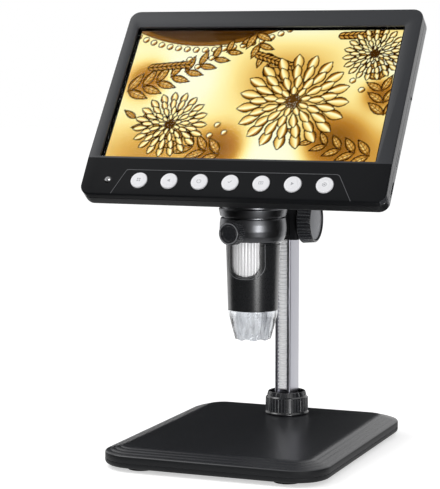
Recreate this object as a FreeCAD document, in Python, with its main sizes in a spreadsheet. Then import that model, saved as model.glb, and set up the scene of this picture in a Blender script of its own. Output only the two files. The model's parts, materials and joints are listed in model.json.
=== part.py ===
"""Desktop digital microscope with its own screen, on a racked column and a weighted base.

Frame: origin on the ground at the centre of the base's footprint, +Z up, the screen faces -Y.
All sizes are millimetres and live in the Sizes sheet. The optic axis is vertical.
"""
import FreeCAD, Part
import math
import os
import re

import Sketcher
from FreeCAD import Placement, Rotation, Vector

DRIVING = (
    # Base
    ("base_width", 127.0), ("base_depth", 161.0), ("base_corner", 19.0), ("base_wall", 2.4),
    ("tray_height", 3.0), ("tray_floor", 2.0), ("tray_round", 2.2), ("shell_side", 4.0),
    ("step_run", 3.0), ("step_rise", 0.75), ("step_count", 4), ("weight_thick", 3.2),
    ("weight_corner", 8.0), ("foot_radius", 7.8), ("foot_height", 2.0), ("foot_chamfer", 0.5),
    ("foot_side_inset", 22.0), ("foot_end_inset", 13.8), ("base_boss_radius", 3.5),
    ("base_screw_radius", 1.45), ("base_screw_length", 5.0), ("screw_head_radius", 2.8),
    ("screw_head_height", 0.9),
    # Column
    ("post_margin", 30.8), ("reach", 57.0), ("post_width", 9.4), ("post_depth", 16.1),
    ("post_edge", 0.5), ("post_core_set", 1.5), ("post_top", 190.0), ("socket_radius", 10.4),
    ("socket_flange_radius", 15.0), ("socket_top", 22.0), ("post_bolt_radius", 2.0),
    ("post_bolt_head", 3.6),
    ("post_bolt_head_height", 1.6), ("post_bolt_length", 16.0), ("cap_height", 2.4),
    ("cap_overhang", 0.4), ("cap_pin_length", 8.0),
    ("collar_radius", 12.6), ("collar_shoulder_radius", 11.7), ("collar_top_radius", 10.5),
    ("collar_side", 9.9), ("collar_cone", 3.0), ("collar_flutes", 24), ("flute_radius", 0.7),
    ("collar_lift", 0.4), ("collar_lip", 0.8),
    # Rack drive
    ("tooth_module", 0.7), ("pinion_teeth", 16), ("addendum", 0.9), ("dedendum", 1.15),
    ("backlash", 0.14), ("rack_width", 5.3), ("rack_back", 1.4), ("rack_low", 27.0),
    ("rack_recess", 0.1), ("pinion_width", 4.8), ("shaft_radius", 2.0), ("lift_height", 126.9),
    ("lift_knob_radius", 12.5), ("lift_knob_front_radius", 11.8), ("lift_knob_length", 8.3),
    ("lift_knob_rim", 1.4), ("lift_knob_recess", 1.0), ("lift_knob_flutes", 36),
    ("lift_knob_gap", 0.5), ("knob_flute_radius", 0.55), ("knob_disc_thick", 0.4),
    ("clip_radius", 3.6), ("clip_thick", 0.8),
    # Carriage
    ("carriage_below", 10.8), ("carriage_above", 19.0), ("carriage_half_width", 13.5),
    ("carriage_front_wall", 1.8), ("carriage_edge", 2.0), ("back_cover_thick", 4.5),
    ("glide_thick", 1.2), ("low_glide_height", 4.0), ("high_glide_height", 10.0),
    ("shoe_width", 7.0), ("shoe_height", 12.0), ("shoe_thick", 2.4), ("set_screw_radius", 1.5),
    ("cover_screw_radius", 1.2), ("cover_screw_length", 9.0), ("cover_screw_head", 2.4),
    ("cover_screw_head_height", 1.4),
    ("arm_half_width", 9.0), ("ring_drop", 9.0), ("ring_height", 13.8), ("ring_low_radius", 16.9),
    ("ring_mid_radius", 18.55), ("ring_top_radius", 17.95), ("ring_gap", 0.3),
    # Clamp
    ("clamp_azimuth", 9.0), ("clamp_drop", 2.1), ("clamp_insert_radius", 2.8),
    ("clamp_stud_radius", 2.0), ("clamp_pad_radius", 2.5), ("clamp_pad_thick", 0.8),
    ("clamp_travel", 0.7), ("clamp_knob_radius", 6.55), ("clamp_knob_length", 8.0),
    ("clamp_knob_gap", 0.6), ("clamp_flutes", 28), ("clamp_flute_radius", 0.35), ("clamp_dish", 0.8),
    # Scope
    ("flange_gap", 0.7), ("flange_height", 4.7), ("flange_radius", 19.0), ("flange_low_radius", 18.15),
    ("neck_radius", 17.0), ("neck_wall", 2.0), ("barrel_radius", 14.5), ("barrel_tip_radius", 13.35),
    ("barrel_reach", 37.2), ("barrel_wall", 1.8), ("barrel_flange", 2.0), ("barrel_flange_bore", 9.5),
    ("sensor_board_thick", 1.2), ("sensor_chip_half", 4.0), ("sensor_chip_thick", 1.0),
    ("barrel_screw_circle", 11.3), ("barrel_screw_radius", 0.9), ("barrel_screw_head", 1.7),
    ("barrel_screw_head_height", 1.2),
    ("window_drop", 18.8), ("window_half_width", 10.0), ("wheel_radius", 12.4), ("wheel_drop", 20.8),
    ("wheel_height", 27.0), ("wheel_flutes", 34), ("wheel_flute_radius", 0.55),
    ("lens_bore", 7.4), ("carrier_radius", 9.0), ("carrier_drop", 28.4), ("carrier_height", 28.0),
    ("key_width", 1.6), ("key_height", 0.9), ("key_length", 3.4), ("lens_thick", 2.6),
    ("sleeve_length", 12.5), ("led_board_thick", 1.2), ("led_board_bore", 5.8), ("led_count", 8),
    ("led_circle", 8.0), ("led_radius", 1.3), ("led_height", 1.4), ("nose_height", 16.7),
    ("nose_tip_radius", 10.1), ("nose_band", 3.0), ("nose_wall", 1.5), ("nose_spigot", 2.2),
    ("nose_lobes", 8), ("lobe_radius", 2.6), ("lobe_depth", 0.9), ("flex_width", 9.0),
    ("flex_thick", 0.4),
    # Screen
    ("tilt", 36.6), ("screen_rise", 82.66), ("screen_forward", 1.27), ("face_width", 174.4),
    ("face_height", 124.1), ("face_drop", 5.6), ("case_depth", 13.6), ("bezel_depth", 5.5),
    ("case_corner", 6.0), ("case_wall", 2.2), ("rear_round", 3.4), ("skin", 1.2),
    ("frame_left", 7.0), ("frame_right", 8.8), ("window_top", 45.0), ("window_bottom", 43.6),
    ("crease_drop", 44.8), ("band_fall", 1.5), ("band_skin", 3.0), ("glass_lap", 1.5),
    ("glass_thick", 1.0), ("panel_margin", 5.7), ("panel_height", 93.0), ("panel_thick", 4.2),
    ("layer_gap", 0.1), ("board_thick", 1.0), ("board_back_gap", 0.4), ("board_left", 7.0),
    ("board_top", 10.0), ("board_bottom", 50.0), ("battery_width", 68.0), ("battery_height", 60.0),
    ("battery_thick", 4.4), ("port_margin", 0.3), ("usb_drop", 54.1), ("usb_width", 8.9),
    ("usb_thick", 3.2), ("usb_length", 7.3), ("usb_shell", 0.3), ("usb_tongue_width", 6.6),
    ("usb_tongue_thick", 0.7), ("card_drop", 35.5), ("card_width", 12.0), ("card_thick", 1.9),
    ("card_length", 15.0), ("card_shell", 0.35), ("key_board_height", 12.5), ("key_board_thick", 1.2),
    ("key_board_depth", 6.2), ("case_boss_radius", 2.3), ("case_screw_radius", 1.0),
    ("case_screw_head", 1.9), ("case_screw_top", 51.6), ("case_screw_bottom", 62.8),
    ("case_screw_margin", 6.9), ("cable_hole_width", 14.0), ("cable_hole_height", 14.0),
    # Buttons
    ("button_count", 7), ("eye_gap", 18.56), ("button_drop", 58.33), ("button_radius", 4.75),
    ("button_gap", 0.3), ("button_proud", 0.6), ("button_lip", 0.75), ("button_lip_height", 0.75),
    ("button_round", 0.5), ("button_travel", 0.7), ("stem_radius", 1.5), ("stem_length", 1.1),
    ("switch_size", 6.0), ("eye_radius", 1.8), ("eye_margin", 15.6), ("receiver_width", 5.0),
    # Fits
    ("running_gap", 0.1), ("shaft_gap", 0.05), ("free_gap", 0.3), ("seat_gap", 0.05),
)

DERIVED = (
    ("tray_top", "foot_height + tray_height"),
    ("floor_top", "foot_height + tray_floor"),
    ("lip", "tray_top + shell_side"),
    ("shoulder", "step_run * step_count"),
    ("base_top", "lip + step_rise * step_count"),
    ("base_skin_low", "base_top - base_wall"),
    ("weight_top", "floor_top + weight_thick"),
    ("weight_inset", "shoulder + base_wall + 0.6"),
    ("foot_x", "base_width / 2 - foot_side_inset"),
    ("foot_y", "base_depth / 2 - foot_end_inset"),
    ("post_setback", "base_depth / 2 - post_margin"),
    ("optic_y", "post_setback - reach"),
    ("post_front", "post_setback - post_depth / 2"),
    ("post_back", "post_setback + post_depth / 2"),
    ("tooth_pitch", "pi * tooth_module"),
    ("tooth_height", "(addendum + dedendum) * tooth_module"),
    ("channel_depth", "rack_recess + tooth_height + rack_back"),
    ("pitch_radius", "pinion_teeth * tooth_module / 2"),
    ("pinion_outer", "pitch_radius + addendum * tooth_module"),
    ("pitch_line", "post_front + rack_recess + addendum * tooth_module"),
    ("lift_y", "pitch_line - pitch_radius"),
    ("collar_low", "base_top + collar_lift"),
    ("collar_shoulder", "collar_low + collar_side"),
    ("collar_high", "collar_shoulder + collar_cone"),
    ("carriage_low", "lift_height - carriage_below"),
    ("carriage_high", "lift_height + carriage_above"),
    ("carriage_front", "lift_y - pinion_outer - free_gap - carriage_front_wall"),
    ("slot_half_width", "post_width / 2 + running_gap + glide_thick"),
    ("slot_front", "post_front - running_gap - glide_thick"),
    ("slot_back", "post_back + running_gap + glide_thick"),
    ("cover_back", "slot_back + back_cover_thick"),
    ("lift_knob_x", "carriage_half_width + lift_knob_gap"),
    ("ring_low", "lift_height - ring_drop"),
    ("ring_high", "ring_low + ring_height"),
    ("ring_middle", "ring_low + ring_height / 2"),
    ("ring_bore", "barrel_radius + ring_gap"),
    ("clamp_height", "lift_height - clamp_drop"),
    ("clamp_tip", "barrel_radius + seat_gap"),
    ("clamp_knob_low", "ring_mid_radius + clamp_knob_gap"),
    ("shoe_back", "post_back + shaft_gap + shoe_thick"),
    ("barrel_low", "ring_low - barrel_reach"),
    ("window_low", "ring_low - window_drop"),
    ("wheel_low", "ring_low - wheel_drop"),
    ("carrier_low", "ring_low - carrier_drop"),
    ("screen_height", "ring_low + screen_rise"),
    ("window_left", "face_width / 2 - frame_left"),
    ("window_right", "face_width / 2 - frame_right"),
    ("panel_width", "face_width - 2 * panel_margin"),
    ("case_screw_side", "face_width / 2 - case_screw_margin"),
    ("eye_offset", "face_width / 2 - eye_margin"),
    ("button_pitch", "2 * (eye_offset - eye_gap) / (button_count - 1)"),
    ("flange_low", "ring_high + flange_gap"),
    ("flange_high", "flange_low + flange_height"),
    ("barrel_shelf", "flange_low"),
    ("sensor_board_low", "barrel_shelf - sensor_board_thick"),
    ("barrel_high", "barrel_shelf + barrel_flange"),
    ("neck_floor_top", "barrel_high + neck_wall"),
    ("barrel_low_bore", "barrel_tip_radius - barrel_wall"),
    ("barrel_bore", "barrel_radius - barrel_wall"),
    ("sleeve_high", "wheel_low - seat_gap"),
    ("sleeve_low", "sleeve_high - sleeve_length"),
    ("led_board_low", "sleeve_low - led_board_thick"),
    ("nose_low", "barrel_low - nose_height"),
    ("band_angle", "atan(band_fall / (face_height / 2 + face_drop - crease_drop))"),
    ("screen_y", "optic_y - screen_forward"),
    ("lean", "90 - tilt"),
    ("back_y", "screen_y + case_depth * cos(tilt)"),
    ("back_z", "screen_height - case_depth * sin(tilt)"),
    ("face_bottom", "face_drop + face_height / 2"),
    ("face_top", "face_height / 2 - face_drop"),
    ("glass_back", "skin + glass_thick"),
    ("panel_back", "glass_back + layer_gap + panel_thick"),
    ("board_back", "panel_back + board_back_gap + board_thick"),
    ("case_floor", "case_depth - case_wall"),
    ("band_level", "(button_drop - crease_drop) * tan(band_angle)"),
    ("button_high", "button_proud - band_level"),
    ("button_lip_top", "band_skin + seat_gap"),
    ("button_lip_low", "button_lip_top + button_lip_height"),
    ("switch_top", "button_lip_low + button_travel + 0.15"),
    ("key_board_low", "key_board_depth + key_board_thick"),
    ("cable_v", "(optic_y - screen_y - (case_depth - case_wall / 2) * cos(tilt)) / sin(tilt)"),
    ("board_plug_v", "(optic_y - screen_y - board_back * cos(tilt)) / sin(tilt)"),
    ("flex_high", "screen_height + board_plug_v * cos(tilt) - board_back * sin(tilt) - 1.0"),
)

doc = FreeCAD.newDocument("microscope")
sizes = doc.addObject("Spreadsheet::Sheet", "Sizes")
WORDS = {word for word, _ in DRIVING + DERIVED}
for row, (word, content) in enumerate(DRIVING + DERIVED, start=1):
    cell = "A%d" % row
    sizes.set(cell, "=" + content if isinstance(content, str) else str(content))
    sizes.setAlias(cell, word)
doc.recompute()

ON_DISPLAY = (
    "placement(vector(0; screen_y; screen_height); rotation(vector(1; 0; 0); lean))"
)
ON_CLAMP = (
    "placement(vector(0; optic_y; clamp_height); rotation(vector(0; 0; 1); -clamp_azimuth))"
    " * placement(vector(0; 0; 0); rotation(vector(1; 0; 0); 90))"
)
ON_OPTIC = "placement(vector(0; optic_y; 0); rotation(vector(0; 0; 1); 0))"
ON_POST = "placement(vector(0; post_setback; 0); rotation(vector(0; 0; 1); 0))"
ON_SHAFT = (
    "placement(vector(0; lift_y; lift_height); rotation(vector(0; 0; 1); 0))"
    " * placement(vector(0; 0; 0); rotation(vector(0; 1; 0); 90))"
)
nodes = []


def size(word):
    """Value of one of the sheet's words."""
    return float(sizes.get(word))


def linked(text):
    """Turn the sheet's words in a formula into references to its cells."""
    def refer(match):
        word = match.group()
        return "Sizes." + word if word in WORDS else word
    return re.sub(r"[a-z][a-z_]*", refer, text)


def bind(thing, **links):
    """Bind properties to formulas; a double underscore stands for the dot in a path."""
    for path, text in links.items():
        thing.setExpression(path.replace("__", "."), linked(text))


def place(thing, where):
    """Put a finished piece where a placement formula says."""
    if where:
        thing.setExpression("Placement", linked(where))
    return thing


def keep(thing, name):
    """Name a finished piece, which is then written to a file of its own."""
    thing.Label = name
    nodes.append(thing)
    return thing


def new_body(name, where=None):
    """Body for one node, kept under its name."""
    body = doc.addObject("PartDesign::Body", name + "_body")
    place(body, where)
    keep(body, name)
    return body


def sketch_on(body, height="0", role="XY_Plane"):
    """Sketch on one of the body's own planes, set off along its normal."""
    plane = [feature for feature in body.Origin.OriginFeatures if feature.Role == role][0]
    sketch = body.newObject("Sketcher::SketchObject", body.Name + "_sketch")
    sketch.AttachmentSupport = [(plane, "")]
    sketch.MapMode = "FlatFace"
    bind(sketch, AttachmentOffset__Base__z=height)
    return sketch


def dimension(sketch, kind, text, *where):
    """Add one linked dimension to a sketch."""
    number = sketch.addConstraint(Sketcher.Constraint(kind, *where))
    sketch.setExpression("Constraints[%d]" % number, linked(text))


def add_outline(sketch, corners):
    """Closed outline of straight lines whose corners lie at linked distances."""
    count = len(corners)
    first = sketch.GeometryCount
    turn = 2 * math.pi / count
    starts = [Vector(10 * math.cos(turn * i), 10 * math.sin(turn * i), 0) for i in range(count)]
    for i in range(count):
        sketch.addGeometry(Part.LineSegment(starts[i], starts[(i + 1) % count]), False)
    for i, (across, along) in enumerate(corners):
        line = first + i
        sketch.addConstraint(Sketcher.Constraint("Coincident", line, 2, first + (i + 1) % count, 1))
        dimension(sketch, "DistanceX", across, -1, 1, line, 1, starts[i].x)
        dimension(sketch, "DistanceY", along, -1, 1, line, 1, starts[i].y)
    return sketch


def add_rectangle(sketch, left, right, low, high):
    corners = ((left, low), (right, low), (right, high), (left, high))
    return add_outline(sketch, corners)


def add_circle(sketch, radius, across="0", along="0"):
    circle = sketch.addGeometry(Part.Circle(Vector(1, 1, 0), Vector(0, 0, 1), 1), False)
    dimension(sketch, "Radius", radius, circle, 1.0)
    dimension(sketch, "DistanceX", across, -1, 1, circle, 3, 1.0)
    dimension(sketch, "DistanceY", along, -1, 1, circle, 3, 1.0)
    return sketch


def add_round_rectangle(sketch, half_x, half_y, radius, middle_y="0"):
    """Rectangle with tangent corner arcs, centred across and at middle_y along."""
    span, start_radius = 25.0, 5.0
    quarters = ((1, 1), (-1, 1), (-1, -1), (1, -1))
    arcs = []
    for i, (side_x, side_y) in enumerate(quarters):
        circle = Part.Circle(Vector(side_x * span, side_y * span, 0), Vector(0, 0, 1), start_radius)
        arc = Part.ArcOfCircle(circle, i * math.pi / 2, (i + 1) * math.pi / 2)
        arcs.append(sketch.addGeometry(arc, False))
    lines = []
    for i in range(4):
        ends = (sketch.getPoint(arcs[i], 2), sketch.getPoint(arcs[(i + 1) % 4], 1))
        lines.append(sketch.addGeometry(Part.LineSegment(*ends), False))
    for i in range(4):
        sketch.addConstraint(Sketcher.Constraint("Tangent", arcs[i], 2, lines[i], 1))
        sketch.addConstraint(Sketcher.Constraint("Tangent", lines[i], 2, arcs[(i + 1) % 4], 1))
    for arc, (side_x, side_y) in zip(arcs, quarters):
        dimension(sketch, "Radius", radius, arc, start_radius)
        across = "%d * (%s - (%s))" % (side_x, half_x, radius)
        along = "%s + %d * (%s - (%s))" % (middle_y, side_y, half_y, radius)
        dimension(sketch, "DistanceX", across, -1, 1, arc, 3, side_x * span)
        dimension(sketch, "DistanceY", along, -1, 1, arc, 3, side_y * span)
    return sketch


def pad(body, sketch, length, middle=False):
    """Raise a sketch along its normal, or both ways from it."""
    feature = body.newObject("PartDesign::Pad", body.Name + "_pad")
    feature.Profile = sketch
    feature.Midplane = middle
    bind(feature, Length=length)
    return feature


def pocket(body, sketch, depth, middle=False):
    """Cut a sketch out along its normal, or both ways from it."""
    feature = body.newObject("PartDesign::Pocket", body.Name + "_pocket")
    feature.Profile = sketch
    feature.Midplane = middle
    feature.Reversed = not middle
    bind(feature, Length=depth)
    return feature


def revolve(body, corners, about="V_Axis", plane="XZ_Plane"):
    """Turn a closed outline about an axis of its sketch."""
    sketch = add_outline(sketch_on(body, role=plane), corners)
    feature = body.newObject("PartDesign::Revolution", body.Name + "_turn")
    feature.Profile = sketch
    feature.ReferenceAxis = (sketch, [about])
    feature.Angle = 360
    return feature


def repeat_around(body, feature, count):
    """Repeat a cut around its sketch's normal."""
    pattern = body.newObject("PartDesign::PolarPattern", body.Name + "_pattern")
    pattern.Originals = [feature]
    pattern.Axis = (feature.Profile[0], ["N_Axis"])
    pattern.Angle = 360
    bind(pattern, Occurrences=count)
    body.Tip = pattern
    return pattern


def round_edges(body, base, radius, wanted):
    """Round those edges of a feature that a test picks."""
    doc.recompute()
    names = ["Edge%d" % i for i, edge in enumerate(base.Shape.Edges, start=1) if wanted(edge)]
    feature = body.newObject("PartDesign::Fillet", body.Name + "_round")
    feature.Base = (base, names)
    bind(feature, Radius=radius)
    return feature


def at_height(height):
    """Test for edges that lie flat at one height of their own body."""
    def test(edge):
        box = edge.BoundBox
        return abs(box.ZMin - height) < 1e-4 and abs(box.ZMax - height) < 1e-4
    return test


def upright(edge):
    """Test for straight edges along Z."""
    box = edge.BoundBox
    return box.ZLength > 0.1 and box.XLength < 1e-4 and box.YLength < 1e-4


TURNS = {
    "X": Rotation(Vector(0, 1, 0), 90),
    "Y": Rotation(Vector(1, 0, 0), -90),
    "Z": Rotation(),
}


def cylinder(radius, height, x="0", y="0", z="0", along="Z"):
    solid = doc.addObject("Part::Cylinder", "cylinder")
    solid.Placement = Placement(Vector(), TURNS[along])
    bind(solid, Radius=radius, Height=height)
    bind(solid, Placement__Base__x=x, Placement__Base__y=y, Placement__Base__z=z)
    return solid


def box(x, y, z, length, width, height):
    """Box whose low corner is at x, y, z."""
    solid = doc.addObject("Part::Box", "box")
    bind(solid, Length=length, Width=width, Height=height)
    bind(solid, Placement__Base__x=x, Placement__Base__y=y, Placement__Base__z=z)
    return solid


def cut(base, tool):
    result = doc.addObject("Part::Cut", "cut")
    result.Base = base
    result.Tool = tool
    return result


def fuse(*pieces):
    result = doc.addObject("Part::MultiFuse", "fuse")
    result.Shapes = list(pieces)
    return result


def group(pieces):
    """Identical pieces that share one node as separate solids."""
    result = doc.addObject("Part::Compound", "group")
    result.Links = pieces
    return result


def signs():
    """The four corners of a rectangle, as signs across and along."""
    return [(i, j) for i in (-1, 1) for j in (-1, 1)]


def make_base():
    half = ("base_width / 2", "base_depth / 2")

    def plate(body, z, height, inset, corner, cutting=False):
        sketch = sketch_on(body, z)
        lengths = ["%s - (%s)" % (text, inset) for text in half]
        add_round_rectangle(sketch, *lengths, corner)
        return (pocket if cutting else pad)(body, sketch, height)

    cover = new_body("base_top_cover")
    plate(cover, "tray_top", "shell_side", "0", "base_corner")
    for step in range(1, int(size("step_count")) + 1):
        inset = "%d * step_run" % step
        plate(cover, "lip + %d * step_rise" % (step - 1), "step_rise", inset, "base_corner - " + inset)
    plate(cover, "tray_top", "shell_side - base_wall", "base_wall", "base_corner - base_wall", True)
    inset = "shoulder + base_wall"
    depth = "base_skin_low - tray_top"
    plate(cover, "tray_top", depth, inset, "max(base_corner - (%s); 3)" % inset, True)
    bosses = sketch_on(cover, "floor_top")
    for i, j in signs():
        add_circle(bosses, "base_boss_radius", "%d * foot_x" % i, "%d * foot_y" % j)
    pad(cover, bosses, "base_skin_low - floor_top")
    bores = sketch_on(cover, "floor_top")
    for i, j in signs():
        add_circle(bores, "base_screw_radius + shaft_gap", "%d * foot_x" % i, "%d * foot_y" % j)
    pocket(cover, bores, "base_screw_length - tray_floor + screw_head_height + 0.6")
    opening = add_circle(sketch_on(cover, "tray_top"), "socket_radius + shaft_gap", "0", "post_setback")
    pocket(cover, opening, "base_top")

    tray = new_body("base_bottom_cover")
    outer = plate(tray, "foot_height", "tray_height", "0", "base_corner")
    round_edges(tray, outer, "tray_round", at_height(size("foot_height")))
    rim = "tray_height - tray_floor"
    plate(tray, "floor_top", rim, "base_wall", "base_corner - base_wall", True)
    holes = sketch_on(tray, "foot_height")
    heads = sketch_on(tray, "foot_height")
    for i, j in signs():
        add_circle(holes, "base_screw_radius + 0.2", "%d * foot_x" % i, "%d * foot_y" % j)
        add_circle(heads, "screw_head_radius + 0.3", "%d * foot_x" % i, "%d * foot_y" % j)
    add_circle(holes, "post_bolt_head + 1", "0", "post_setback + post_core_set")
    pocket(tray, holes, "tray_floor")
    pocket(tray, heads, "screw_head_height + 0.1")

    weight = new_body("base_weight_plate")
    plate(weight, "floor_top", "weight_thick", "weight_inset", "weight_corner")
    holes = sketch_on(weight, "floor_top")
    for i, j in signs():
        add_circle(holes, "base_boss_radius + 0.8", "%d * foot_x" % i, "%d * foot_y" % j)
    add_circle(holes, "post_bolt_radius + 0.2", "0", "post_setback + post_core_set")
    pocket(weight, holes, "weight_thick")

    feet = []
    screws = []
    for i, j in signs():
        spot = {"x": "%d * foot_x" % i, "y": "%d * foot_y" % j}
        tip = doc.addObject("Part::Cone", "foot_edge")
        bind(tip, Radius1="foot_radius - foot_chamfer", Radius2="foot_radius", Height="foot_chamfer")
        bind(tip, Placement__Base__x=spot["x"], Placement__Base__y=spot["y"])
        side = cylinder("foot_radius", "foot_height - foot_chamfer", z="foot_chamfer", **spot)
        feet.append(fuse(tip, side))
        head = cylinder("screw_head_radius", "screw_head_height", z="foot_height + 0.1", **spot)
        neck = "foot_height + 0.1 + screw_head_height"
        screws.append(fuse(head, cylinder("base_screw_radius", "base_screw_length", z=neck, **spot)))
    keep(group(feet), "base_feet")
    keep(group(screws), "base_screws")


def make_post():
    post = new_body("post", ON_POST)
    half_width = "post_width / 2"
    front = "-post_depth / 2"
    floor = "-post_depth / 2 + channel_depth"
    groove = "rack_width / 2 + seat_gap"
    corners = (
        ("-" + half_width, front), ("-(%s)" % groove, front), ("-(%s)" % groove, floor),
        (groove, floor), (groove, front), (half_width, front),
        (half_width, "post_depth / 2"), ("-" + half_width, "post_depth / 2"),
    )
    blank = pad(post, add_outline(sketch_on(post, "weight_top"), corners), "post_top - weight_top")
    limit = size("post_width") / 2 - 1e-3
    corner = lambda edge: upright(edge) and abs(edge.Vertexes[0].X) > limit
    round_edges(post, blank, "post_edge", corner)
    core = add_circle(sketch_on(post, "weight_top"), "post_bolt_radius", "0", "post_core_set")
    pocket(post, core, "post_top")

    cap = new_body("post_top_cap", ON_POST)
    sketch = sketch_on(cap, "post_top")
    lengths = ("post_width / 2 + cap_overhang", "post_depth / 2 + cap_overhang")
    add_round_rectangle(sketch, *lengths, "post_edge + cap_overhang")
    top = pad(cap, sketch, "cap_height")
    round_edges(cap, top, "cap_height / 3", at_height(size("post_top") + size("cap_height")))
    pin = sketch_on(cap, "post_top - cap_pin_length")
    pad(cap, add_circle(pin, "post_bolt_radius", "0", "post_core_set"), "cap_pin_length")

    socket = new_body("post_socket", ON_POST)
    revolve(socket, (
        ("0", "weight_top"), ("socket_flange_radius", "weight_top"),
        ("socket_flange_radius", "base_skin_low"), ("socket_radius", "base_skin_low"),
        ("socket_radius", "socket_top"), ("0", "socket_top"),
    ))
    sketch = sketch_on(socket, "weight_top")
    lengths = ["post_%s / 2 + shaft_gap" % side for side in ("width", "depth")]
    add_rectangle(sketch, "-(%s)" % lengths[0], lengths[0], "-(%s)" % lengths[1], lengths[1])
    pocket(socket, sketch, "socket_top")

    spot = ("0", "post_setback + post_core_set")
    head_low = "floor_top - post_bolt_head_height"
    head = cylinder("post_bolt_head", "post_bolt_head_height", *spot, head_low)
    shank = cylinder("post_bolt_radius", "post_bolt_length", *spot, "floor_top")
    keep(fuse(head, shank), "post_bolt")

    collar = new_body("post_lock_collar", ON_POST)
    bore = "socket_radius + 0.2"
    top_bore = "collar_top_radius - collar_lip"
    revolve(collar, (
        (bore, "collar_low"), ("collar_radius", "collar_low"),
        ("collar_shoulder_radius", "collar_shoulder"),
        ("collar_shoulder_radius - 0.6", "collar_shoulder + 0.2"),
        ("collar_top_radius", "collar_high"), (top_bore, "collar_high"),
        (top_bore, "socket_top + 0.3"), (bore, "socket_top + 0.3"),
    ))
    flute = add_circle(sketch_on(collar, "collar_low"), "flute_radius", "collar_radius + 0.1")
    repeat_around(collar, pocket(collar, flute, "collar_side + 1"), "collar_flutes")


def make_rack():
    """Toothed strip in the post's channel, with a tooth centred at the pinion's rest height."""
    pitch = size("tooth_pitch")
    slope = math.tan(math.radians(20))
    half_tooth = pitch / 4 - size("backlash") / 4
    tip_rise = size("addendum") * size("tooth_module")
    root_fall = size("dedendum") * size("tooth_module")
    tip_half = half_tooth - tip_rise * slope
    root_half = half_tooth + root_fall * slope
    line = size("pitch_line")
    back = size("post_front") + size("channel_depth")
    low = size("rack_low")
    high = size("post_top")
    first = math.ceil((low + root_half - size("lift_height")) / pitch)
    last = math.floor((high - root_half - size("lift_height")) / pitch)
    profile = [(back, low), (line + root_fall, low)]
    for number in range(first, last + 1):
        centre = size("lift_height") + number * pitch
        profile += [
            (line + root_fall, centre - root_half), (line - tip_rise, centre - tip_half),
            (line - tip_rise, centre + tip_half), (line + root_fall, centre + root_half),
        ]
    profile += [(line + root_fall, high), (back, high)]
    half_width = size("rack_width") / 2
    points = [Vector(-half_width, y, z) for y, z in profile]
    face = Part.Face(Part.makePolygon(points + points[:1]))
    rack = doc.addObject("Part::Feature", "post_rack_strip")
    rack.Shape = face.extrude(Vector(2 * half_width, 0, 0))
    keep(rack, "post_rack")


def make_pinion():
    """Spur pinion on the shaft, with a tooth space facing the rack."""
    teeth = int(size("pinion_teeth"))
    module = size("tooth_module")
    pitch_radius = size("pitch_radius")
    base_radius = pitch_radius * math.cos(math.radians(20))
    outer = size("pinion_outer")
    root = pitch_radius - size("dedendum") * module
    start = max(root, base_radius)
    spread = lambda angle: math.tan(angle) - angle
    half_pitch_angle = math.pi / (2 * teeth) - size("backlash") / (4 * pitch_radius)
    steps = 5
    points = []
    for tooth in range(teeth):
        middle = math.pi / 2 + (tooth + 0.5) * 2 * math.pi / teeth
        flank = []
        for i in range(steps + 1):
            radius = start + (outer - start) * i / steps
            lean = spread(math.acos(min(1.0, base_radius / radius)))
            flank.append((radius, half_pitch_angle + spread(math.radians(20)) - lean))
        flank.insert(0, (root, flank[0][1]))
        side = [(radius, middle - angle) for radius, angle in flank]
        side += [(radius, middle + angle) for radius, angle in reversed(flank)]
        points += [Vector(0, radius * math.sin(a), radius * math.cos(a)) for radius, a in side]
    face = Part.Face(Part.makePolygon(points + points[:1]))
    width = size("pinion_width")
    gear = face.extrude(Vector(width, 0, 0))
    bore = Part.makeCylinder(size("shaft_radius"), 3 * width, Vector(-width, 0, 0), Vector(1, 0, 0))
    pinion = doc.addObject("Part::Feature", "pinion_gear")
    pinion.Shape = gear.cut(bore)
    bind(pinion, Placement__Base__x="-pinion_width / 2", Placement__Base__y="lift_y")
    bind(pinion, Placement__Base__z="lift_height")
    keep(pinion, "pinion")


def make_lift_drive():
    clip_x = "-carriage_half_width - running_gap - clip_thick"
    shaft_low = clip_x + " - 0.6"
    end = "lift_knob_x + lift_knob_length - lift_knob_recess - knob_disc_thick"
    axis = ("lift_y", "lift_height", "X")
    shaft = cylinder("shaft_radius", "%s - (%s)" % (end, shaft_low), shaft_low, *axis)
    keep(shaft, "drive_shaft")

    outer = cylinder("clip_radius", "clip_thick", clip_x, *axis)
    inner = cylinder("shaft_radius", "clip_thick", clip_x, *axis)
    keep(cut(outer, inner), "shaft_clip")

    knob = new_body("lift_knob", ON_SHAFT)
    far = "lift_knob_x + lift_knob_length"
    floor = far + " - lift_knob_recess - knob_disc_thick"
    rim = "lift_knob_front_radius - lift_knob_rim"
    revolve(knob, (
        ("shaft_radius", "lift_knob_x"), ("lift_knob_radius - 0.6", "lift_knob_x"),
        ("lift_knob_radius", "lift_knob_x + 0.6"), ("lift_knob_front_radius", far),
        (rim, far), (rim, floor), ("shaft_radius", floor),
    ))
    flute = add_circle(sketch_on(knob, "lift_knob_x"), "knob_flute_radius", "lift_knob_radius + 0.05")
    repeat_around(knob, pocket(knob, flute, "lift_knob_length - 1.2"), "lift_knob_flutes")
    disc = cylinder(rim, "knob_disc_thick", floor, *axis)
    keep(disc, "knob_face_disc")


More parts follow.
